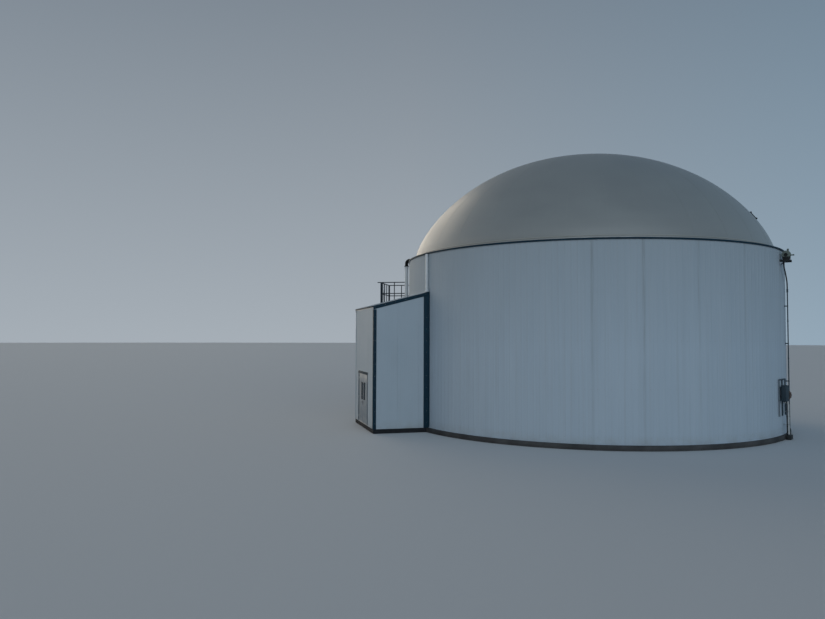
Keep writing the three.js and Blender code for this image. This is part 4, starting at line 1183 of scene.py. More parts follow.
def make_threshold():
    """A flat plate with seven raised ribs across it."""
    bm = bmesh.new()
    add_box(bm, (CASING_FRONT, DOOR_RIGHT, ON_FOOTING), (FRAME_BACK, DOOR_LEFT, DOOR_SILL - 0.004), 0.002)
    right, left = DOOR_RIGHT + 0.001, DOOR_LEFT - 0.001
    for step in range(7):
        x = CASING_FRONT + 0.016 + step * 0.015
        add_box(bm, (x - 0.004, right, DOOR_SILL - 0.006), (x + 0.004, left, DOOR_SILL), 0.001, 1)
    keep(bm, "door_threshold", "galvanised_steel")


def add_knuckle(bm, jamb, out, height, on_leaf):
    """Half a hinge; `out` is 1 where the leaf runs to the left of it, and -1 to the right."""
    y = jamb + out * 0.013
    low = height + GAP if on_leaf else height - KNUCKLE
    high = low + KNUCKLE
    end, tip = (high, 0.006) if on_leaf else (low, -0.006)
    add_rod(bm, (HINGE_X, y, low), (HINGE_X, y, high), 0.008, 14)
    add_rod(bm, (HINGE_X, y, end), (HINGE_X, y, end + tip), 0.0065, 14, 0.003)
    if on_leaf:
        add_box(bm, (HINGE_X, y, low), (LEAF_FACE - 0.003, y + out * 0.006, high))
        add_box(bm, (LEAF_FACE - 0.004, y, low), (LEAF_FACE + 0.001, y + out * 0.04, high), 0.001, 1)
        for lift in (0.012, 0.043):
            screw = Vector((LEAF_FACE, y + out * 0.029, low + lift))
            add_rod(bm, screw - Vector((0.0055, 0, 0)), screw, 0.0045, 10)
    else:
        add_box(bm, (HINGE_X - 0.003, jamb - out * 0.001, low), (HINGE_X + 0.003, y, high))


def make_hinges():
    for on_leaf, side, jamb, out, body in (
        (False, "frame_right", DOOR_RIGHT, 1, "plant"),
        (False, "frame_left", DOOR_LEFT, -1, "plant"),
        (True, "leaf_right", DOOR_RIGHT, 1, "right_door"),
        (True, "leaf_left", DOOR_LEFT, -1, "left_door"),
    ):
        bm = bmesh.new()
        for height in HINGE_HEIGHTS:
            add_knuckle(bm, jamb, out, height, on_leaf)
        keep(bm, f"hinges_{side}", "galvanised_steel", body=body)


make_door_frame()
make_head_flashing()
make_threshold()
make_hinges()

# %% Door leaves, glazing and handle
MEETING = (DOOR_RIGHT + DOOR_LEFT) / 2
LEAF_CLEARANCE = 0.006
LIP = 0.008
GASKET = 0.026
LITE_LOW, LITE_HIGH = 1.22, 1.91
LITE_NEAR, LITE_FAR = 0.116, 0.366
PANE_FRONT = LEAF_FACE + 0.0175
PANE_BACK = PANE_FRONT + 0.01


def add_panel(bm, y0, y1, z0, z1, x0, x1, hole=None, bevel=0.002):
    """A flat leaf in the door's plane, with a rectangular opening where one is given."""
    columns = [y0, y1] if hole is None else [y0, hole[0], hole[1], y1]
    rows = [z0, z1] if hole is None else [z0, hole[2], hole[3], z1]
    made = bmesh.ops.create_grid(
        bm, x_segments=len(columns) - 1, y_segments=len(rows) - 1, size=0.5,
    )["verts"]
    for vert in made:
        column = round((vert.co.x + 0.5) * (len(columns) - 1))
        row = round((vert.co.y + 0.5) * (len(rows) - 1))
        vert.co = Vector((x0, columns[column], rows[row]))
    faces = list({face for vert in made for face in vert.link_faces})
    if hole is not None:
        middle = Vector((x0, (hole[0] + hole[1]) / 2, (hole[2] + hole[3]) / 2))
        inside = [face for face in faces if (face.calc_center_median() - middle).length < 1e-3]
        bmesh.ops.delete(bm, geom=inside, context="FACES_ONLY")
        faces = [face for face in faces if face.is_valid]
    verts = verts_of(bmesh.ops.extrude_face_region(bm, geom=faces)["geom"])
    bmesh.ops.translate(bm, verts=verts, vec=(x1 - x0, 0, 0))
    everything = {vert for vert in made if vert.is_valid} | set(verts)
    edges = {edge for vert in everything for edge in vert.link_edges}
    sharp = [edge for edge in edges if len(edge.link_faces) == 2 and edge.calc_face_angle() > 0.5]
    bevel_edges(bm, sharp, bevel)


def make_leaf(side, out, jamb):
    """One leaf with its pane; `out` is 1 where it runs to the left of the meeting edge."""
    low, high = DOOR_SILL + LEAF_CLEARANCE, DOOR_HEAD - LEAF_CLEARANCE
    y0, y1 = sorted((MEETING + out * LEAF_CLEARANCE, jamb - out * LEAF_CLEARANCE))
    left, right = sorted((MEETING + out * LITE_NEAR, MEETING + out * LITE_FAR))
    lite = (left, right, LITE_LOW, LITE_HIGH)
    hole = (left + LIP, right - LIP, LITE_LOW + LIP, LITE_HIGH - LIP)
    outer = (left - GASKET, right + GASKET, LITE_LOW - GASKET, LITE_HIGH + GASKET)
    bm = bmesh.new()
    add_panel(bm, y0, y1, low, high, LEAF_FACE, LEAF_BACK, lite)
    keep(bm, f"{side}_leaf_skin", "door_paint", [f"door_leaf_{side}"], body=f"{side}_door")
    bm = bmesh.new()
    for front, back in ((LEAF_FACE - 0.008, LEAF_FACE + 0.001), (LEAF_BACK - 0.001, LEAF_BACK + 0.004)):
        add_panel(bm, *outer, front, back, hole, 0.0025)
    keep(bm, f"{side}_lite_gasket", "black_plastic", body=f"{side}_door")
    bm = bmesh.new()
    add_box(
        bm, (PANE_FRONT, left + GAP, LITE_LOW + GAP), (PANE_BACK, right - GAP, LITE_HIGH - GAP), 0.001,
    )
    keep(bm, f"{side}_lite_pane", "window_glass", [f"door_window_{side}"], body=f"{side}_door")
    bm = bmesh.new()
    kick = DOOR_SILL + 0.012
    add_box(bm, (LEAF_FACE - 0.002, y0 + 0.03, kick), (LEAF_FACE + 0.0005, y1 - 0.03, kick + 0.22), 0.001, 1)
    keep(bm, f"{side}_leaf_kick_plate", "door_paint", body=f"{side}_door")


def make_handle():
    """A lever on a long plate, with the keyhole's round cover below it."""
    y, height = MEETING + 0.066, 1.08
    face = LEAF_FACE - GAP
    bm = bmesh.new()
    add_box(bm, (face - 0.008, y - 0.02, height - 0.11), (face, y + 0.02, height + 0.06), 0.003)
    add_rod(bm, (face - 0.006, y, height), (face - 0.056, y, height), 0.009, 20)
    add_rod(bm, (face - 0.008, y, height), (face - 0.014, y, height), 0.016, 24)
    add_tube(bm, [
        (face - 0.05, y - 0.006, height), (face - 0.053, y + 0.02, height), (face - 0.053, y + 0.06, height),
        (face - 0.053, y + 0.1, height - 0.001), (face - 0.047, y + 0.118, height - 0.002),
    ], 0.009, 14)
    add_rod(bm, (face - 0.007, y, height - 0.075), (face - 0.011, y, height - 0.075), 0.011, 20)
    keep(bm, "lever_handle", "grey_steel", ["door_handle"], body="left_door")


make_leaf("right", -1, DOOR_RIGHT)
make_leaf("left", 1, DOOR_LEFT)
make_handle()

# %% [markdown]
# ## The service platform
# A steel platform hangs beside the annex, with an open grating, round rails and a ladder. It is
# built standing on the X axis and then turned round the tank to its place.

# %% Deck, brackets and grating
PLATFORM_ANGLE = 155.5
DECK_TOP = 5.43
RAIL_TOP = 6.53
DECK_IN = ON_TANK
DECK_OUT = 9.6
DECK_HALF = 0.98
DECK_PLATE = 0.008
GRATING_BARS = 48
CROSS_RODS = 12
TUBE = 0.021


def make_deck():
    """An edge frame with grating bars and cross rods, on two brackets bolted to the wall."""
    bm = bmesh.new()
    low = DECK_TOP - 0.06
    for y in (-DECK_HALF, DECK_HALF - DECK_PLATE):
        add_box(bm, (DECK_IN, y, low), (DECK_OUT, y + DECK_PLATE, DECK_TOP), 0.001, 1)
    for x in (DECK_IN, DECK_OUT - DECK_PLATE):
        add_box(bm, (x, -DECK_HALF, low), (x + DECK_PLATE, DECK_HALF, DECK_TOP), 0.001, 1)
    near, far = DECK_IN + DECK_PLATE, DECK_OUT - DECK_PLATE
    for bar in range(1, GRATING_BARS):
        y = -DECK_HALF + 2 * DECK_HALF * bar / GRATING_BARS
        add_box(bm, (near, y - 0.0022, DECK_TOP - 0.036), (far, y + 0.0022, DECK_TOP - 0.002))
    half_rod = Vector((0, DECK_HALF - DECK_PLATE, 0))
    for rod in range(1, CROSS_RODS + 1):
        x = DECK_IN + (DECK_OUT - DECK_IN) * rod / (CROSS_RODS + 1)
        middle = Vector((x, 0, DECK_TOP - 0.006))
        add_rod(bm, middle - half_rod, middle + half_rod, 0.0035, 6)
    plate = DECK_IN + 0.01
    for y in (-0.735, 0.735):
        add_box(bm, (DECK_IN, y - 0.03, low - 0.9), (DECK_IN + 0.06, y + 0.03, low + 0.01), 0.004)
        add_box(bm, (DECK_IN, y - 0.03, low - 0.06), (DECK_OUT - 0.1, y + 0.03, low), 0.004)
        add_bar(bm, (DECK_IN + 0.035, y, low - 0.865), (DECK_OUT - 0.16, y, low - 0.035), 0.05)
        for height in (low - 0.84, low - 0.12):
            add_box(bm, (DECK_IN, y - 0.09, height - 0.06), (plate, y + 0.09, height + 0.06), 0.002, 1)
            for side in (-0.065, 0.065):
                add_bolt(bm, (plate, y + side, height), (1, 0, 0), 0.014)
    keep(bm, "platform_grating", "galvanised_steel", ["platform_deck"], turn=PLATFORM_ANGLE)


# %% Rails, posts and toe boards
STILES = (0.10, 0.58)
RUNG_PITCH = 0.3


def add_post(bm, x, y):
    foot = DECK_TOP + GAP
    add_rod(bm, (x, y, foot), (x, y, RAIL_TOP - TUBE), TUBE, 16)
    add_box(bm, (x - 0.045, y - 0.03, foot), (x + 0.045, y + 0.03, foot + 0.008), 0.002, 1)


def add_ball(bm, place, radius):
    bmesh.ops.create_uvsphere(
        bm, u_segments=16, v_segments=8, radius=radius, matrix=Matrix.Translation(place),
    )


def make_railings():
    """The two side rails, and the front rail with a stub that reaches past its left end."""
    line = DECK_OUT - TUBE
    side = DECK_HALF - TUBE
    levels = ((DECK_TOP + RAIL_TOP) / 2, RAIL_TOP - TUBE)
    for name, out in (("right", -1), ("left", 1)):
        bm = bmesh.new()
        start, end = DECK_IN + 0.03 + TUBE, line - 2 * TUBE - GAP
        y = out * side
        for x in (start, (start + end) / 2, end):
            add_post(bm, x, y)
        for level in levels:
            add_rod(bm, (start, y, level), (end, y, level), TUBE, 16)
            for x in (start, end):
                add_ball(bm, (x, y, level), TUBE * 1.06)
        add_box(bm, (start, y - 0.003, DECK_TOP + 0.008), (end, y + 0.003, DECK_TOP + 0.108), 0.001, 1)
        keep(
            bm, f"tube_railing_{name}", "grey_steel", [f"platform_railing_{name}"],
            turn=PLATFORM_ANGLE, material=railing_enamel,
        )
    bm = bmesh.new()
    for share in (-1, -0.45, 0.08, 0.62, 1):
        add_post(bm, line, share * side)
    for level in levels:
        add_rod(bm, (line, -side, level), (line, side, level), TUBE, 16)
        for y in (-side, side):
            add_ball(bm, (line, y, level), TUBE * 1.06)
    add_rod(bm, (line, side, levels[1]), (line + TUBE + 0.14, side, levels[1]), TUBE, 16)
    add_box(bm, (line - 0.003, -side, DECK_TOP + 0.008), (line + 0.003, side, DECK_TOP + 0.108), 0.001, 1)
    keep(
        bm, "tube_railing_front", "grey_steel", ["platform_railing_front"],
        turn=PLATFORM_ANGLE, material=railing_enamel,
    )


def make_ladder():
    """Two stiles from the ground to the rail, with rungs as far up as the deck."""
    bm = bmesh.new()
    x = DECK_OUT + GAP + TUBE
    for y in STILES:
        add_box(bm, (x - TUBE, y - 0.008, 0.0), (x + TUBE, y + 0.008, RAIL_TOP - 0.02), 0.003)
        add_rod(bm, (x, y - 0.008, RAIL_TOP - 0.021), (x, y + 0.008, RAIL_TOP - 0.021), TUBE, 20)
        add_box(bm, (x - 0.05, y - 0.04, 0.0), (x + 0.05, y + 0.04, 0.008), 0.002, 1)
        add_box(bm, (DECK_OUT, y - 0.03, DECK_TOP - 0.05), (x + TUBE, y + 0.03, DECK_TOP - 0.01), 0.003)
    rung = 1
    while rung * RUNG_PITCH < DECK_TOP:
        height = rung * RUNG_PITCH
        add_rod(bm, (x, STILES[0], height), (x, STILES[1], height), 0.014, 12)
        rung += 1
    keep(bm, "rung_ladder", "galvanised_steel", ["platform_ladder"], turn=PLATFORM_ANGLE)


make_deck()
make_railings()
make_ladder()

# %% [markdown]
# ## Gas pipes on the left
# A galvanised pipe climbs the wall in flanged lengths, and a black elbow carries the gas line
# into the dome's foot. A riser in a pale sleeve climbs from the annex's roof to the rim. Turned
# profiles make each pipe with its flanges in one go.

# %% Downpipe, elbow and riser
DOWNPIPE_ANGLE = 163.2
DOWNPIPE_REACH = 8.382
DOWNPIPE_RADIUS = 0.08
DOWNPIPE_FLANGE = 0.112
DOWNPIPE_JOINTS = (2.4, 4.8)
DOWNPIPE_TOP = 7.225
ELBOW_RADIUS = 0.075
ELBOW_BEND = 0.15
RISER_ANGLE = 190.4
RISER_RADIUS = 0.055


def flanged_profile(radius, low, high, joints, flange):
    """Outline of a pipe with a pair of flanges at each joint height."""
    points = [(0.0, low), (radius, low)]
    for joint in joints:
        for start, end in ((joint - 0.024, joint - 0.002), (joint + 0.002, joint + 0.024)):
            points += [(radius, start), (flange, start), (flange, end), (radius + 0.004, end)]
    return points + [(radius, high), (0.0, high)]


def add_clamp(bm, x, height, radius, foot=0.05, arm=0.02):
    """A strap round a pipe and the foot that holds it off the wall."""
    wall = ON_TANK
    inner, outer = radius + 0.0005, radius + 0.005
    strap = [(inner, -0.02), (outer, -0.02), (outer, 0.02), (inner, 0.02), (inner, -0.02)]
    add_turned_at(bm, strap, 24, Matrix.Translation((x, 0, height)))
    for y in (-1, 1):
        side = y * (radius + 0.017)
        lug = (x + 0.006, side - y * 0.016, height + 0.02)
        add_box(bm, (x - 0.006, side, height - 0.02), lug, 0.001, 1)
        add_bolt(bm, (x + 0.006, side - y * 0.004, height), (1, 0, 0), 0.008)
    add_box(bm, (wall, -arm, height - arm), (max(wall + 0.004, x - radius), arm, height + arm), 0.002, 1)
    add_box(bm, (wall, -foot, height - 0.035), (wall + 0.006, foot, height + 0.035), 0.002, 1)


def make_downpipe():
    """Three flanged lengths on a foot flange, with their bolts and clamps."""
    bm = bmesh.new()
    pipe, flange, top = DOWNPIPE_RADIUS, DOWNPIPE_FLANGE, DOWNPIPE_TOP
    profile = flanged_profile(pipe, ON_FOOTING, top, DOWNPIPE_JOINTS, flange)
    profile[-2:] = [(pipe, top - 0.03), (flange, top - 0.03), (flange, top), (0.0, top)]
    profile[:2] = [(0.0, ON_FOOTING), (0.12, ON_FOOTING), (0.12, 0.2), (pipe, 0.2)]
    add_turned_at(bm, profile, 32, Matrix.Translation((DOWNPIPE_REACH, 0, 0)))
    for joint in (*DOWNPIPE_JOINTS, top - 0.005):
        for step in range(6):
            angle = math.pi * step / 3 + 0.3
            place = Vector((DOWNPIPE_REACH + 0.097 * math.cos(angle), 0.097 * math.sin(angle), joint))
            add_rod(bm, place - UP * 0.034, place + UP * 0.034, 0.006, 6)
    for height in (1.3, 3.6, 6.0):
        add_clamp(bm, DOWNPIPE_REACH, height, pipe)
    keep(
        bm, "flanged_gas_pipe", "galvanised_steel", ["gas_downpipe"],
        turn=DOWNPIPE_ANGLE, material=pale_zinc,
    )


def make_elbow():
    """A flange on the downpipe, a quarter bend inwards and a collar at the dome's foot."""
    bm = bmesh.new()
    low = DOWNPIPE_TOP + GAP
    neck = ELBOW_RADIUS
    add_turned_at(bm, [
        (0.0, 0.0), (0.108, 0.0), (0.11, 0.004), (0.11, 0.032), (0.106, 0.038), (neck + 0.014, 0.044),
        (neck + 0.004, 0.07), (neck, 0.12), (0.0, 0.12),
    ], 32, Matrix.Translation((DOWNPIPE_REACH, 0, low)))
    top = low + 0.305
    path = [(DOWNPIPE_REACH, 0, low + 0.1)]
    for step in range(13):
        turn = math.pi / 2 * step / 12
        inward, upward = ELBOW_BEND * (1 - math.cos(turn)), ELBOW_BEND * (1 - math.sin(turn))
        path.append((DOWNPIPE_REACH - inward, 0, top - upward))
    path.append((7.984, 0, top))
    add_tube(bm, path, ELBOW_RADIUS, 28)
    along = Matrix.Rotation(math.pi / 2, 4, "Y")
    add_turned_at(bm, [
        (neck - 0.002, 0.0), (0.084, 0.0), (0.086, 0.012), (0.084, 0.03), (neck + 0.005, 0.034),
        (neck + 0.001, 0.05), (neck - 0.002, 0.05), (neck - 0.002, 0.0),
    ], 32, Matrix.Translation((7.99, 0, top)) @ along)
    cuff = [(neck - 0.002, -0.008), (neck + 0.005, -0.008), (neck + 0.005, 0.008), (neck - 0.002, 0.008)]
    for reach in (0.02, 0.05):
        place = Matrix.Translation((DOWNPIPE_REACH - ELBOW_BEND - reach, 0, top))
        add_turned_at(bm, cuff + cuff[:1], 28, place @ along)
    keep(bm, "black_gas_elbow", "black_plastic", ["gas_elbow"], turn=DOWNPIPE_ANGLE)


def make_riser():
    """The riser, drawn in its pale sleeve, which is wider than the plain model's pipe."""
    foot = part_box("roof_riser_pipe")[0].z
    bm = bmesh.new()
    narrow, wide = RISER_RADIUS, RISER_RADIUS + 0.005
    reach, joint, top = TANK_FACE + 0.0005 + narrow, 6.35, RIM_HEIGHT - 0.008
    profile = [(0.0, foot), (narrow, foot), (narrow, joint - 0.03), (wide, joint - 0.027)]
    profile += [(wide, joint + 0.027), (narrow, joint + 0.03), (narrow, top), (0.0, top)]
    add_turned_at(bm, profile, 24, Matrix.Translation((reach, 0, 0)))
    for height in (6.0, 6.75, 7.2):
        add_clamp(bm, reach, height, narrow)
    boot = Matrix.Translation((reach, 0, foot))
    add_turned_at(bm, [
        (0.0, -0.002), (0.088, -0.002), (0.086, 0.01), (0.064, 0.05), (0.056, 0.056), (0.0, 0.056),
    ], 24, boot)
    keep(
        bm, "riser_pipe", "galvanised_steel", ["roof_riser_pipe"], turn=RISER_ANGLE,
        material=pale_zinc,
    )


make_downpipe()
make_elbow()
make_riser()

# %% [markdown]
# ## The blower on its shelf
# The blower keeps the dome's outer skin full. A drum in its cradle and a finned motor stand on a
# steel shelf. The drum has a guarded round inlet in one flat side, a collared stub on top and an
# outlet that points away from the tank.

# %% Shelf and blower
BLOWER_REACH = 8.47
SHELF_TOP = 6.982


def make_shelf():
    """A plate with folded edges, on two gussets bolted to the wall."""
    wall = TANK_FACE + 0.0005
    front = wall + 0.36
    drop = SHELF_BOTTOM - 0.11
    under = SHELF_BOTTOM + 0.041
    bm = bmesh.new()
    add_box(bm, (wall, -0.2, SHELF_BOTTOM + 0.04), (front, 0.2, SHELF_TOP), 0.002)
    add_box(bm, (front - 0.008, -0.2, SHELF_BOTTOM), (front, 0.2, SHELF_TOP - 0.002), 0.002)
    for y in (-0.2, 0.192):
        add_box(bm, (wall, y, SHELF_BOTTOM - 0.04), (front, y + 0.008, SHELF_TOP - 0.002), 0.002)
    keep(bm, "shelf_plate", "dark_steel", ["blower_shelf"], turn=SHELF_ANGLE)
    bm = bmesh.new()
    gusset = ((0, under), (0, drop), (0.04, drop), (0.216, under))
    for y in (-0.18, 0.18):
        pull_face(bm, [(wall + x, y - 0.005, z) for x, z in gusset], (0, 0.01, 0))
        add_box(bm, (wall, y - 0.03, drop), (wall + 0.008, y + 0.03, SHELF_BOTTOM + 0.03), 0.002)
        for side in (-0.018, 0.018):
            add_bolt(bm, (wall + 0.008, y + side, drop + 0.04), (1, 0, 0), 0.011)
    keep(bm, "shelf_gussets", "siding", turn=SHELF_ANGLE)


def make_blower():
    """The cradle with its feet, then the drum with its stub and its outlet."""
    seat = SHELF_TOP + GAP
    centre = seat + 0.165 + 0.025
    x = BLOWER_REACH
    bm = bmesh.new()
    # Painted shade: the cradle and feet are dark enamel, partly their own colour and partly the shade under
    # the drum.
    for y in (-0.12, 0.045):
        add_box(bm, (x - 0.11, y, seat), (x + 0.11, y + 0.02, seat + 0.055), 0.003)
        for side in (-0.095, 0.095):
            add_bolt(bm, (x + side, y + 0.01, seat + 0.055), UP, 0.009)
    add_box(bm, (x - 0.13, -0.122, seat + 0.03), (x + 0.14, 0.058, seat + 0.115), 0.012)
    keep(bm, "blower_feet", "dark_steel", turn=SHELF_ANGLE)
    sideways = Matrix.Rotation(-math.pi / 2, 4, "X")
    bm = bmesh.new()
    drum = Matrix.Translation((x, -0.03, centre)) @ sideways
    add_turned_at(bm, [
        (0.0, -0.085), (0.07, -0.085), (0.075, -0.078), (0.14, -0.078), (0.158, -0.07), (0.165, -0.05),
        (0.165, -0.012), (0.169, -0.01), (0.169, 0.01), (0.165, 0.012), (0.165, 0.05), (0.158, 0.07),
        (0.14, 0.078), (0.1, 0.08), (0.0, 0.08),
    ], 40, drum)
    for low, high, radius in ((0.1, 0.235, 0.032), (0.2, 0.222, 0.041), (0.155, 0.17, 0.041)):
        add_rod(bm, (x + 0.06, -0.03, centre + low), (x + 0.06, -0.03, centre + high), radius, 20)
    for near, far, radius in ((0.12, 0.28, 0.024), (0.245, 0.262, 0.033)):
        add_rod(bm, (x + near, -0.03, centre - 0.02), (x + far, -0.03, centre - 0.02), radius, 20)
    for step in range(8):
        angle = math.pi * step / 4 + 0.2
        place = Vector((x + 0.151 * math.cos(angle), -0.106, centre + 0.151 * math.sin(angle)))
        add_bolt(bm, place, (0, -1, 0), 0.008)
    keep(bm, "scroll_blower", "dark_steel", ["blower"], turn=SHELF_ANGLE, material=blower_enamel)
    make_motor_and_inlet(x, centre, sideways)


def make_motor_and_inlet(x, centre, sideways):
    """A finned motor behind the drum, and the guarded round inlet in the drum's front, whose opening is a
    dark disc of painted shade.
    """
    bm = bmesh.new()
    fins = [(0.0, -0.05), (0.078, -0.05)]
    for step in range(9):
        at = -0.045 + step * 0.0135
        fins += [(0.076, at), (0.085, at), (0.085, at + 0.004), (0.076, at + 0.004)]
    fins += [(0.08, 0.078), (0.08, 0.09), (0.066, 0.095), (0.0, 0.095)]
    add_turned_at(bm, fins, 28, Matrix.Translation((x, 0.11, centre)) @ sideways)
    add_box(bm, (x - 0.03, 0.06, centre + 0.07), (x + 0.035, 0.13, centre + 0.125), 0.006)
    # Painted shade: the inlet's opening is a solid dark disc under the guard rods.
    front = -0.115
    add_turned_at(bm, [
        (0.0, 0.002), (0.066, 0.002), (0.068, -0.010), (0.062, -0.014), (0.056, -0.012), (0.053, -0.003),
        (0.0, -0.003),
    ], 32, Matrix.Translation((x, front, centre)) @ sideways)
    for step in range(-2, 3):
        height = centre + step * 0.02
        half = math.sqrt(0.056 ** 2 - (step * 0.02) ** 2)
        add_rod(bm, (x - half, front - 0.01, height), (x + half, front - 0.01, height), 0.0025, 8)
    keep(bm, "blower_motor_and_inlet", "dark_steel", turn=SHELF_ANGLE)


make_shelf()
make_blower()

# %% [markdown]
# ## Pipes and the cabinet on the right
# Below the hose, a conduit drops to the footing. A short white drain pipe comes out of the wall
# and ends in a small cast box, and the controls hang on three slotted channels in a grey cabinet
# whose cable runs down in a black conduit.

# %% Conduit, drain and drain box
CONDUIT_ANGLE = 311.2
CONDUIT_REACH = 8.36
CONDUIT_RADIUS = 0.022
DRAIN_ANGLE = 306.1
DRAIN_BOX_ANGLE = 305.0
DRAIN_BOX_TOP = 0.17
ON_DRAIN_BOX = DRAIN_BOX_TOP + GAP


def make_conduit():
    """A clamped pipe with three couplings, and a wider head that takes the hose."""
    bm = bmesh.new()
    pipe, top = CONDUIT_RADIUS, 5.88
    profile = [(0.0, ON_FOOTING), (pipe, ON_FOOTING)]
    for joint in (1.6, 3.1, 4.6):
        profile += [(pipe, joint - 0.03), (0.027, joint - 0.028)]
        profile += [(0.027, joint + 0.028), (pipe, joint + 0.03)]
    foot = top - 0.13
    profile += [
        (pipe, foot), (0.033, foot), (0.037, foot + 0.006), (0.037, foot + 0.03),
        (0.033, foot + 0.034), (0.033, foot + 0.09), (0.037, foot + 0.094), (0.037, top - 0.006),
        (0.034, top), (0.0, top),
    ]
    add_turned_at(bm, profile, 24, Matrix.Translation((CONDUIT_REACH, 0, 0)))
    for height in (0.8, 2.2, 3.7, 5.2):
        add_clamp(bm, CONDUIT_REACH, height, pipe)
    keep(bm, "steel_conduit", "grey_steel", ["hose_conduit"], turn=CONDUIT_ANGLE)


def make_rusty_fitting():
    """A rusted housing that stands out from the conduit, with a bolted cover and two glands."""
    bm = bmesh.new()
    low, high, front = 1.535, 1.755, 8.435
    middle = (low + high) / 2
    add_box(bm, (8.376, -0.05, low), (front, 0.05, high), 0.014, 3)
    add_rod(bm, (front - 0.004, 0, middle), (front + 0.012, 0, middle), 0.045, 24)
    for side in (-0.033, 0.033):
        for lift in (-0.088, 0.088):
            add_bolt(bm, (front, side, middle + lift), (1, 0, 0), 0.009)
    for height in (low - 0.016, high + 0.016):
        add_turned_at(bm, [
            (0.0275, -0.03), (0.041, -0.026), (0.041, 0.026), (0.0275, 0.03), (0.0275, -0.03),
        ], 20, Matrix.Translation((CONDUIT_REACH, 0, height)))
    keep(bm, "rusty_fitting", "dark_steel", turn=CONDUIT_ANGLE, material=rust)


def make_drain():
    """The white pipe: straight up out of its box, and round a bend into the wall."""
    bm = bmesh.new()
    reach, top, radius, bend = 8.428, 1.4, 0.028, 0.08
    path = [(reach, 0, ON_DRAIN_BOX)]
    for step in range(9):
        turn = math.pi / 2 * step / 8
        path.append((reach - bend * (1 - math.cos(turn)), 0, top - bend * (1 - math.sin(turn))))
    path.append((TANK_FACE + 0.0008, 0, top))
    add_tube(bm, path, radius, 20)
    inner, outer = radius - 0.001, radius + 0.005
    sleeve = [(inner, -0.03), (outer, -0.028), (outer, 0.028), (inner, 0.03), (inner, -0.03)]
    for height in (0.21, 0.8, top - bend - 0.04):
        add_turned_at(bm, sleeve, 24, Matrix.Translation((reach, 0, height)))
    keep(bm, "drain_pipe", "white_plastic", ["condensate_pipe"], turn=DRAIN_ANGLE)
    bm = bmesh.new()
    for height in (0.55, 1.05):
        add_clamp(bm, reach, height, radius, foot=0.024, arm=0.007)
    keep(bm, "drain_clamps", "galvanised_steel", turn=DRAIN_ANGLE)


def make_drain_box():
    """A cast box beside the footing, with a bolted lid."""
    low, high = 8.3903, 8.5603
    bm = bmesh.new()
    add_box(bm, (low, -0.2, 0.0), (high, 0.2, 0.146), 0.008)
    add_box(bm, (low + 0.001, -0.199, 0.149), (high - 0.001, 0.199, DRAIN_BOX_TOP), 0.005)
    for y in (-0.18, 0.18):
        add_bolt(bm, (high - 0.025, y, 0.165), UP, 0.01)
    keep(bm, "cast_drain_box", "dark_steel", ["condensate_box"], turn=DRAIN_BOX_ANGLE)


make_conduit()
make_rusty_fitting()
make_drain()
make_drain_box()

# %% Cabinet on its channels
CABINET_ANGLE = 304.0
CABINET_LOW = 1.47
CABINET_HIGH = 2.07
CHANNEL_SPACING = 0.46
CHANNEL_HALF = 0.0205
CHANNEL_LOW = 0.91
CHANNEL_HIGH = 2.33
SLOT_PITCH = 0.05


def add_channel(bm, y):
    """A slotted channel, open away from the wall: a back, two sides and two inturned lips."""
    x, low, high = ON_TANK, CHANNEL_LOW, CHANNEL_HIGH
    add_box(bm, (x, y - CHANNEL_HALF, low), (x + 0.003, y + CHANNEL_HALF, high))
    for side in (-1, 1):
        edge = y + side * CHANNEL_HALF
        add_box(bm, (x + 0.002, edge, low), (x + 0.041, edge - side * 0.003, high))
        add_box(bm, (x + 0.038, edge, low), (x + 0.041, edge - side * 0.010, high))
    for slot in range(int((high - low) / SLOT_PITCH)):
        height = low + 0.03 + slot * SLOT_PITCH
        add_box(bm, (x + 0.0025, y - 0.006, height - 0.012), (x + 0.0036, y + 0.006, height + 0.012))


def make_cabinet_frame():
    """Three uprights, one of them in brighter zinc, and three folded rails across them."""
    reach = CHANNEL_SPACING + CHANNEL_HALF
    face = ON_TANK + 0.041
    bm = bmesh.new()
    add_channel(bm, -CHANNEL_SPACING)
    keep(bm, "bare_channel", "galvanised_steel", turn=CABINET_ANGLE, material=channel_zinc)
    bm = bmesh.new()
    add_channel(bm, 0.0)
    add_channel(bm, CHANNEL_SPACING)
    for height in (1.53, 2.01, 2.3095):
        low, high = height - CHANNEL_HALF, height + CHANNEL_HALF
        add_box(bm, (face - 0.007, -reach, low), (face, reach, high), 0.0015, 1)
        for edge in (low, high - 0.0055):
            add_box(bm, (face - 0.04, -reach, edge), (face - 0.006, reach, edge + 0.0055), 0.0015, 1)
        for step in (-1, 0, 1):
            add_bolt(bm, (face, step * CHANNEL_SPACING, height), (1, 0, 0), 0.0095)
    keep(bm, "channel_frame", "grey_steel", ["cabinet_frame"], turn=CABINET_ANGLE)


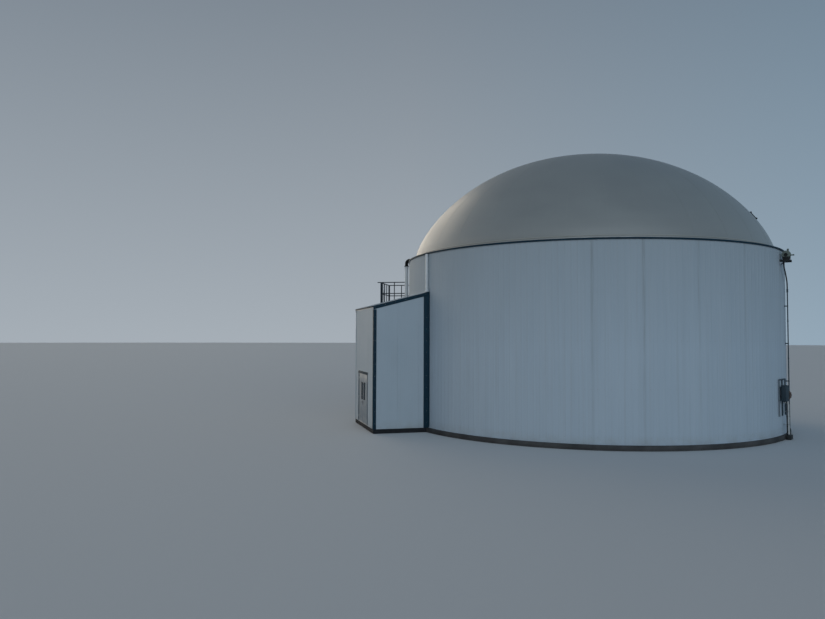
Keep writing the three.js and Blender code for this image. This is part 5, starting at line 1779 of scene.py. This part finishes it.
def make_cabinet():
    """The box, its door and its hood, with two hinges, two locks and three glands below."""
    low, high = CABINET_LOW, CABINET_HIGH
    back, front = 8.3017, 8.46
    half = 0.235
    bm = bmesh.new()
    add_box(bm, (back, -half, low), (front - 0.022, half, high), 0.006, 3)
    add_box(bm, (front - 0.02, -half - 0.003, low - 0.003), (front, half + 0.003, high + 0.003), 0.005, 3)
    add_box(bm, (back, -half - 0.012, high + 0.001), (front + 0.008, half + 0.012, high + 0.012), 0.003)
    for height in (low + 0.1, high - 0.1):
        hinge = Vector((front - 0.01, half + 0.008, height))
        add_rod(bm, hinge - UP * 0.025, hinge + UP * 0.025, 0.007, 12)
    lock = 0.03 - half
    for height in (low + 0.14, high - 0.14):
        slot = (front + 0.009, lock + 0.0025, height + 0.012)
        add_rod(bm, (front - 0.002, lock, height), (front + 0.006, lock, height), 0.014, 18)
        add_box(bm, (front + 0.004, lock - 0.0025, height - 0.012), slot, 0.001, 1)
    for y in (-0.12, 0.0, 0.12):
        place = (back + 0.07, y)
        add_rod(bm, (*place, low - 0.012), (*place, low + 0.002), 0.017, 8)
        add_rod(bm, (*place, low - 0.03), (*place, low - 0.01), 0.012, 14)
    keep(bm, "control_box", "grey_steel", ["control_cabinet"], turn=CABINET_ANGLE)


def make_cabinet_conduit():
    """The cabinet's cable in a black pipe with a collar at each end and one coupling."""
    bm = bmesh.new()
    low, high = ON_DRAIN_BOX, CABINET_LOW - GAP
    add_turned_at(bm, [
        (0.0, low), (0.026, low), (0.026, low + 0.03), (0.02, low + 0.034), (0.02, 0.86),
        (0.024, 0.862), (0.024, 0.918), (0.02, 0.92), (0.02, high - 0.04), (0.026, high - 0.036),
        (0.026, high), (0.0, high),
    ], 20, Matrix.Translation((8.43, 0.03, 0)))
    keep(bm, "cable_conduit", "black_plastic", ["cabinet_conduit"], turn=CABINET_ANGLE)


make_cabinet_frame()
make_cabinet()
make_cabinet_conduit()

# %% [markdown]
# ## Studio
# A plain pale floor and a soft sky, bluer towards the right, stand in for the yard. A low, wide,
# slightly warm lamp behind the dome's left shoulder gives the bright edge that the photograph
# shows there. A wide cool one behind the camera keeps the wall light down to its foot, and a
# faint warm one stands low on the left.

# %% Floor, sky and lamps
def make_floor():
    bm = bmesh.new()
    bmesh.ops.create_circle(bm, cap_ends=True, cap_tris=False, segments=96, radius=420.0)
    bmesh.ops.translate(bm, verts=bm.verts, vec=(0, 0, -0.003))
    mesh = bpy.data.meshes.new("studio_floor")
    bm.to_mesh(mesh)
    bm.free()
    floor = add_object("studio_floor", mesh)
    plain = Finish("floor_paper", 0.9)
    plain.shader.inputs["Base Color"].default_value = rgb(0.62, 0.63, 0.64)
    mesh.materials.append(plain.material)


def make_sky():
    world = bpy.data.worlds.new("soft_sky")
    world.use_nodes = True
    bpy.context.scene.world = world
    tree = world.node_tree
    background = tree.nodes["Background"]
    place = tree.nodes.new("ShaderNodeTexCoord").outputs["Generated"]
    split = tree.nodes.new("ShaderNodeSeparateXYZ")
    tree.links.new(place, split.inputs[0])
    ramp = tree.nodes.new("ShaderNodeValToRGB")
    ramp.color_ramp.elements[0].position = 0.0
    ramp.color_ramp.elements[0].color = rgb(0.42, 0.47, 0.52)
    ramp.color_ramp.elements[1].position = 0.75
    ramp.color_ramp.elements[1].color = rgb(0.10, 0.14, 0.19)
    tree.links.new(split.outputs["Z"], ramp.inputs["Fac"])
    towards_right = tree.nodes.new("ShaderNodeVectorMath")
    towards_right.operation = "DOT_PRODUCT"
    towards_right.inputs[1].default_value = (0.97, -0.26, 0.0)
    tree.links.new(place, towards_right.inputs[0])
    tint = tree.nodes.new("ShaderNodeMix")
    tint.data_type, tint.blend_type = "RGBA", "MULTIPLY"
    tint.inputs[7].default_value = rgb(0.55, 0.82, 1.0)
    tree.links.new(towards_right.outputs["Value"], tint.inputs["Factor"])
    tree.links.new(ramp.outputs["Color"], tint.inputs[6])
    tree.links.new(tint.outputs[2], background.inputs["Color"])
    background.inputs["Strength"].default_value = 0.9


def make_lamp(name, energy, softness, colour, heading, height):
    """A soft sun: heading and height in degrees say where its light comes from."""
    light = bpy.data.lights.new(name, "SUN")
    light.energy = energy
    light.angle = math.radians(softness)
    light.color = colour
    lamp = add_object(name, light)
    heading, height = math.radians(heading), math.radians(height)
    level = math.cos(height)
    towards = Vector((math.sin(heading) * level, math.cos(heading) * level, math.sin(height)))
    lamp.rotation_euler = towards.to_track_quat("Z", "Y").to_euler()


make_floor()
make_sky()
make_lamp("low_warm_lamp", 0.8, 48, (1.0, 0.87, 0.69), -15, 15)
make_lamp("soft_front_lamp", 1.0, 70, (0.80, 0.92, 1.0), 190, 12)
make_lamp("faint_left_lamp", 0.25, 40, (1.0, 0.85, 0.62), -62, 8)
bpy.context.scene.view_settings.view_transform = "Standard"
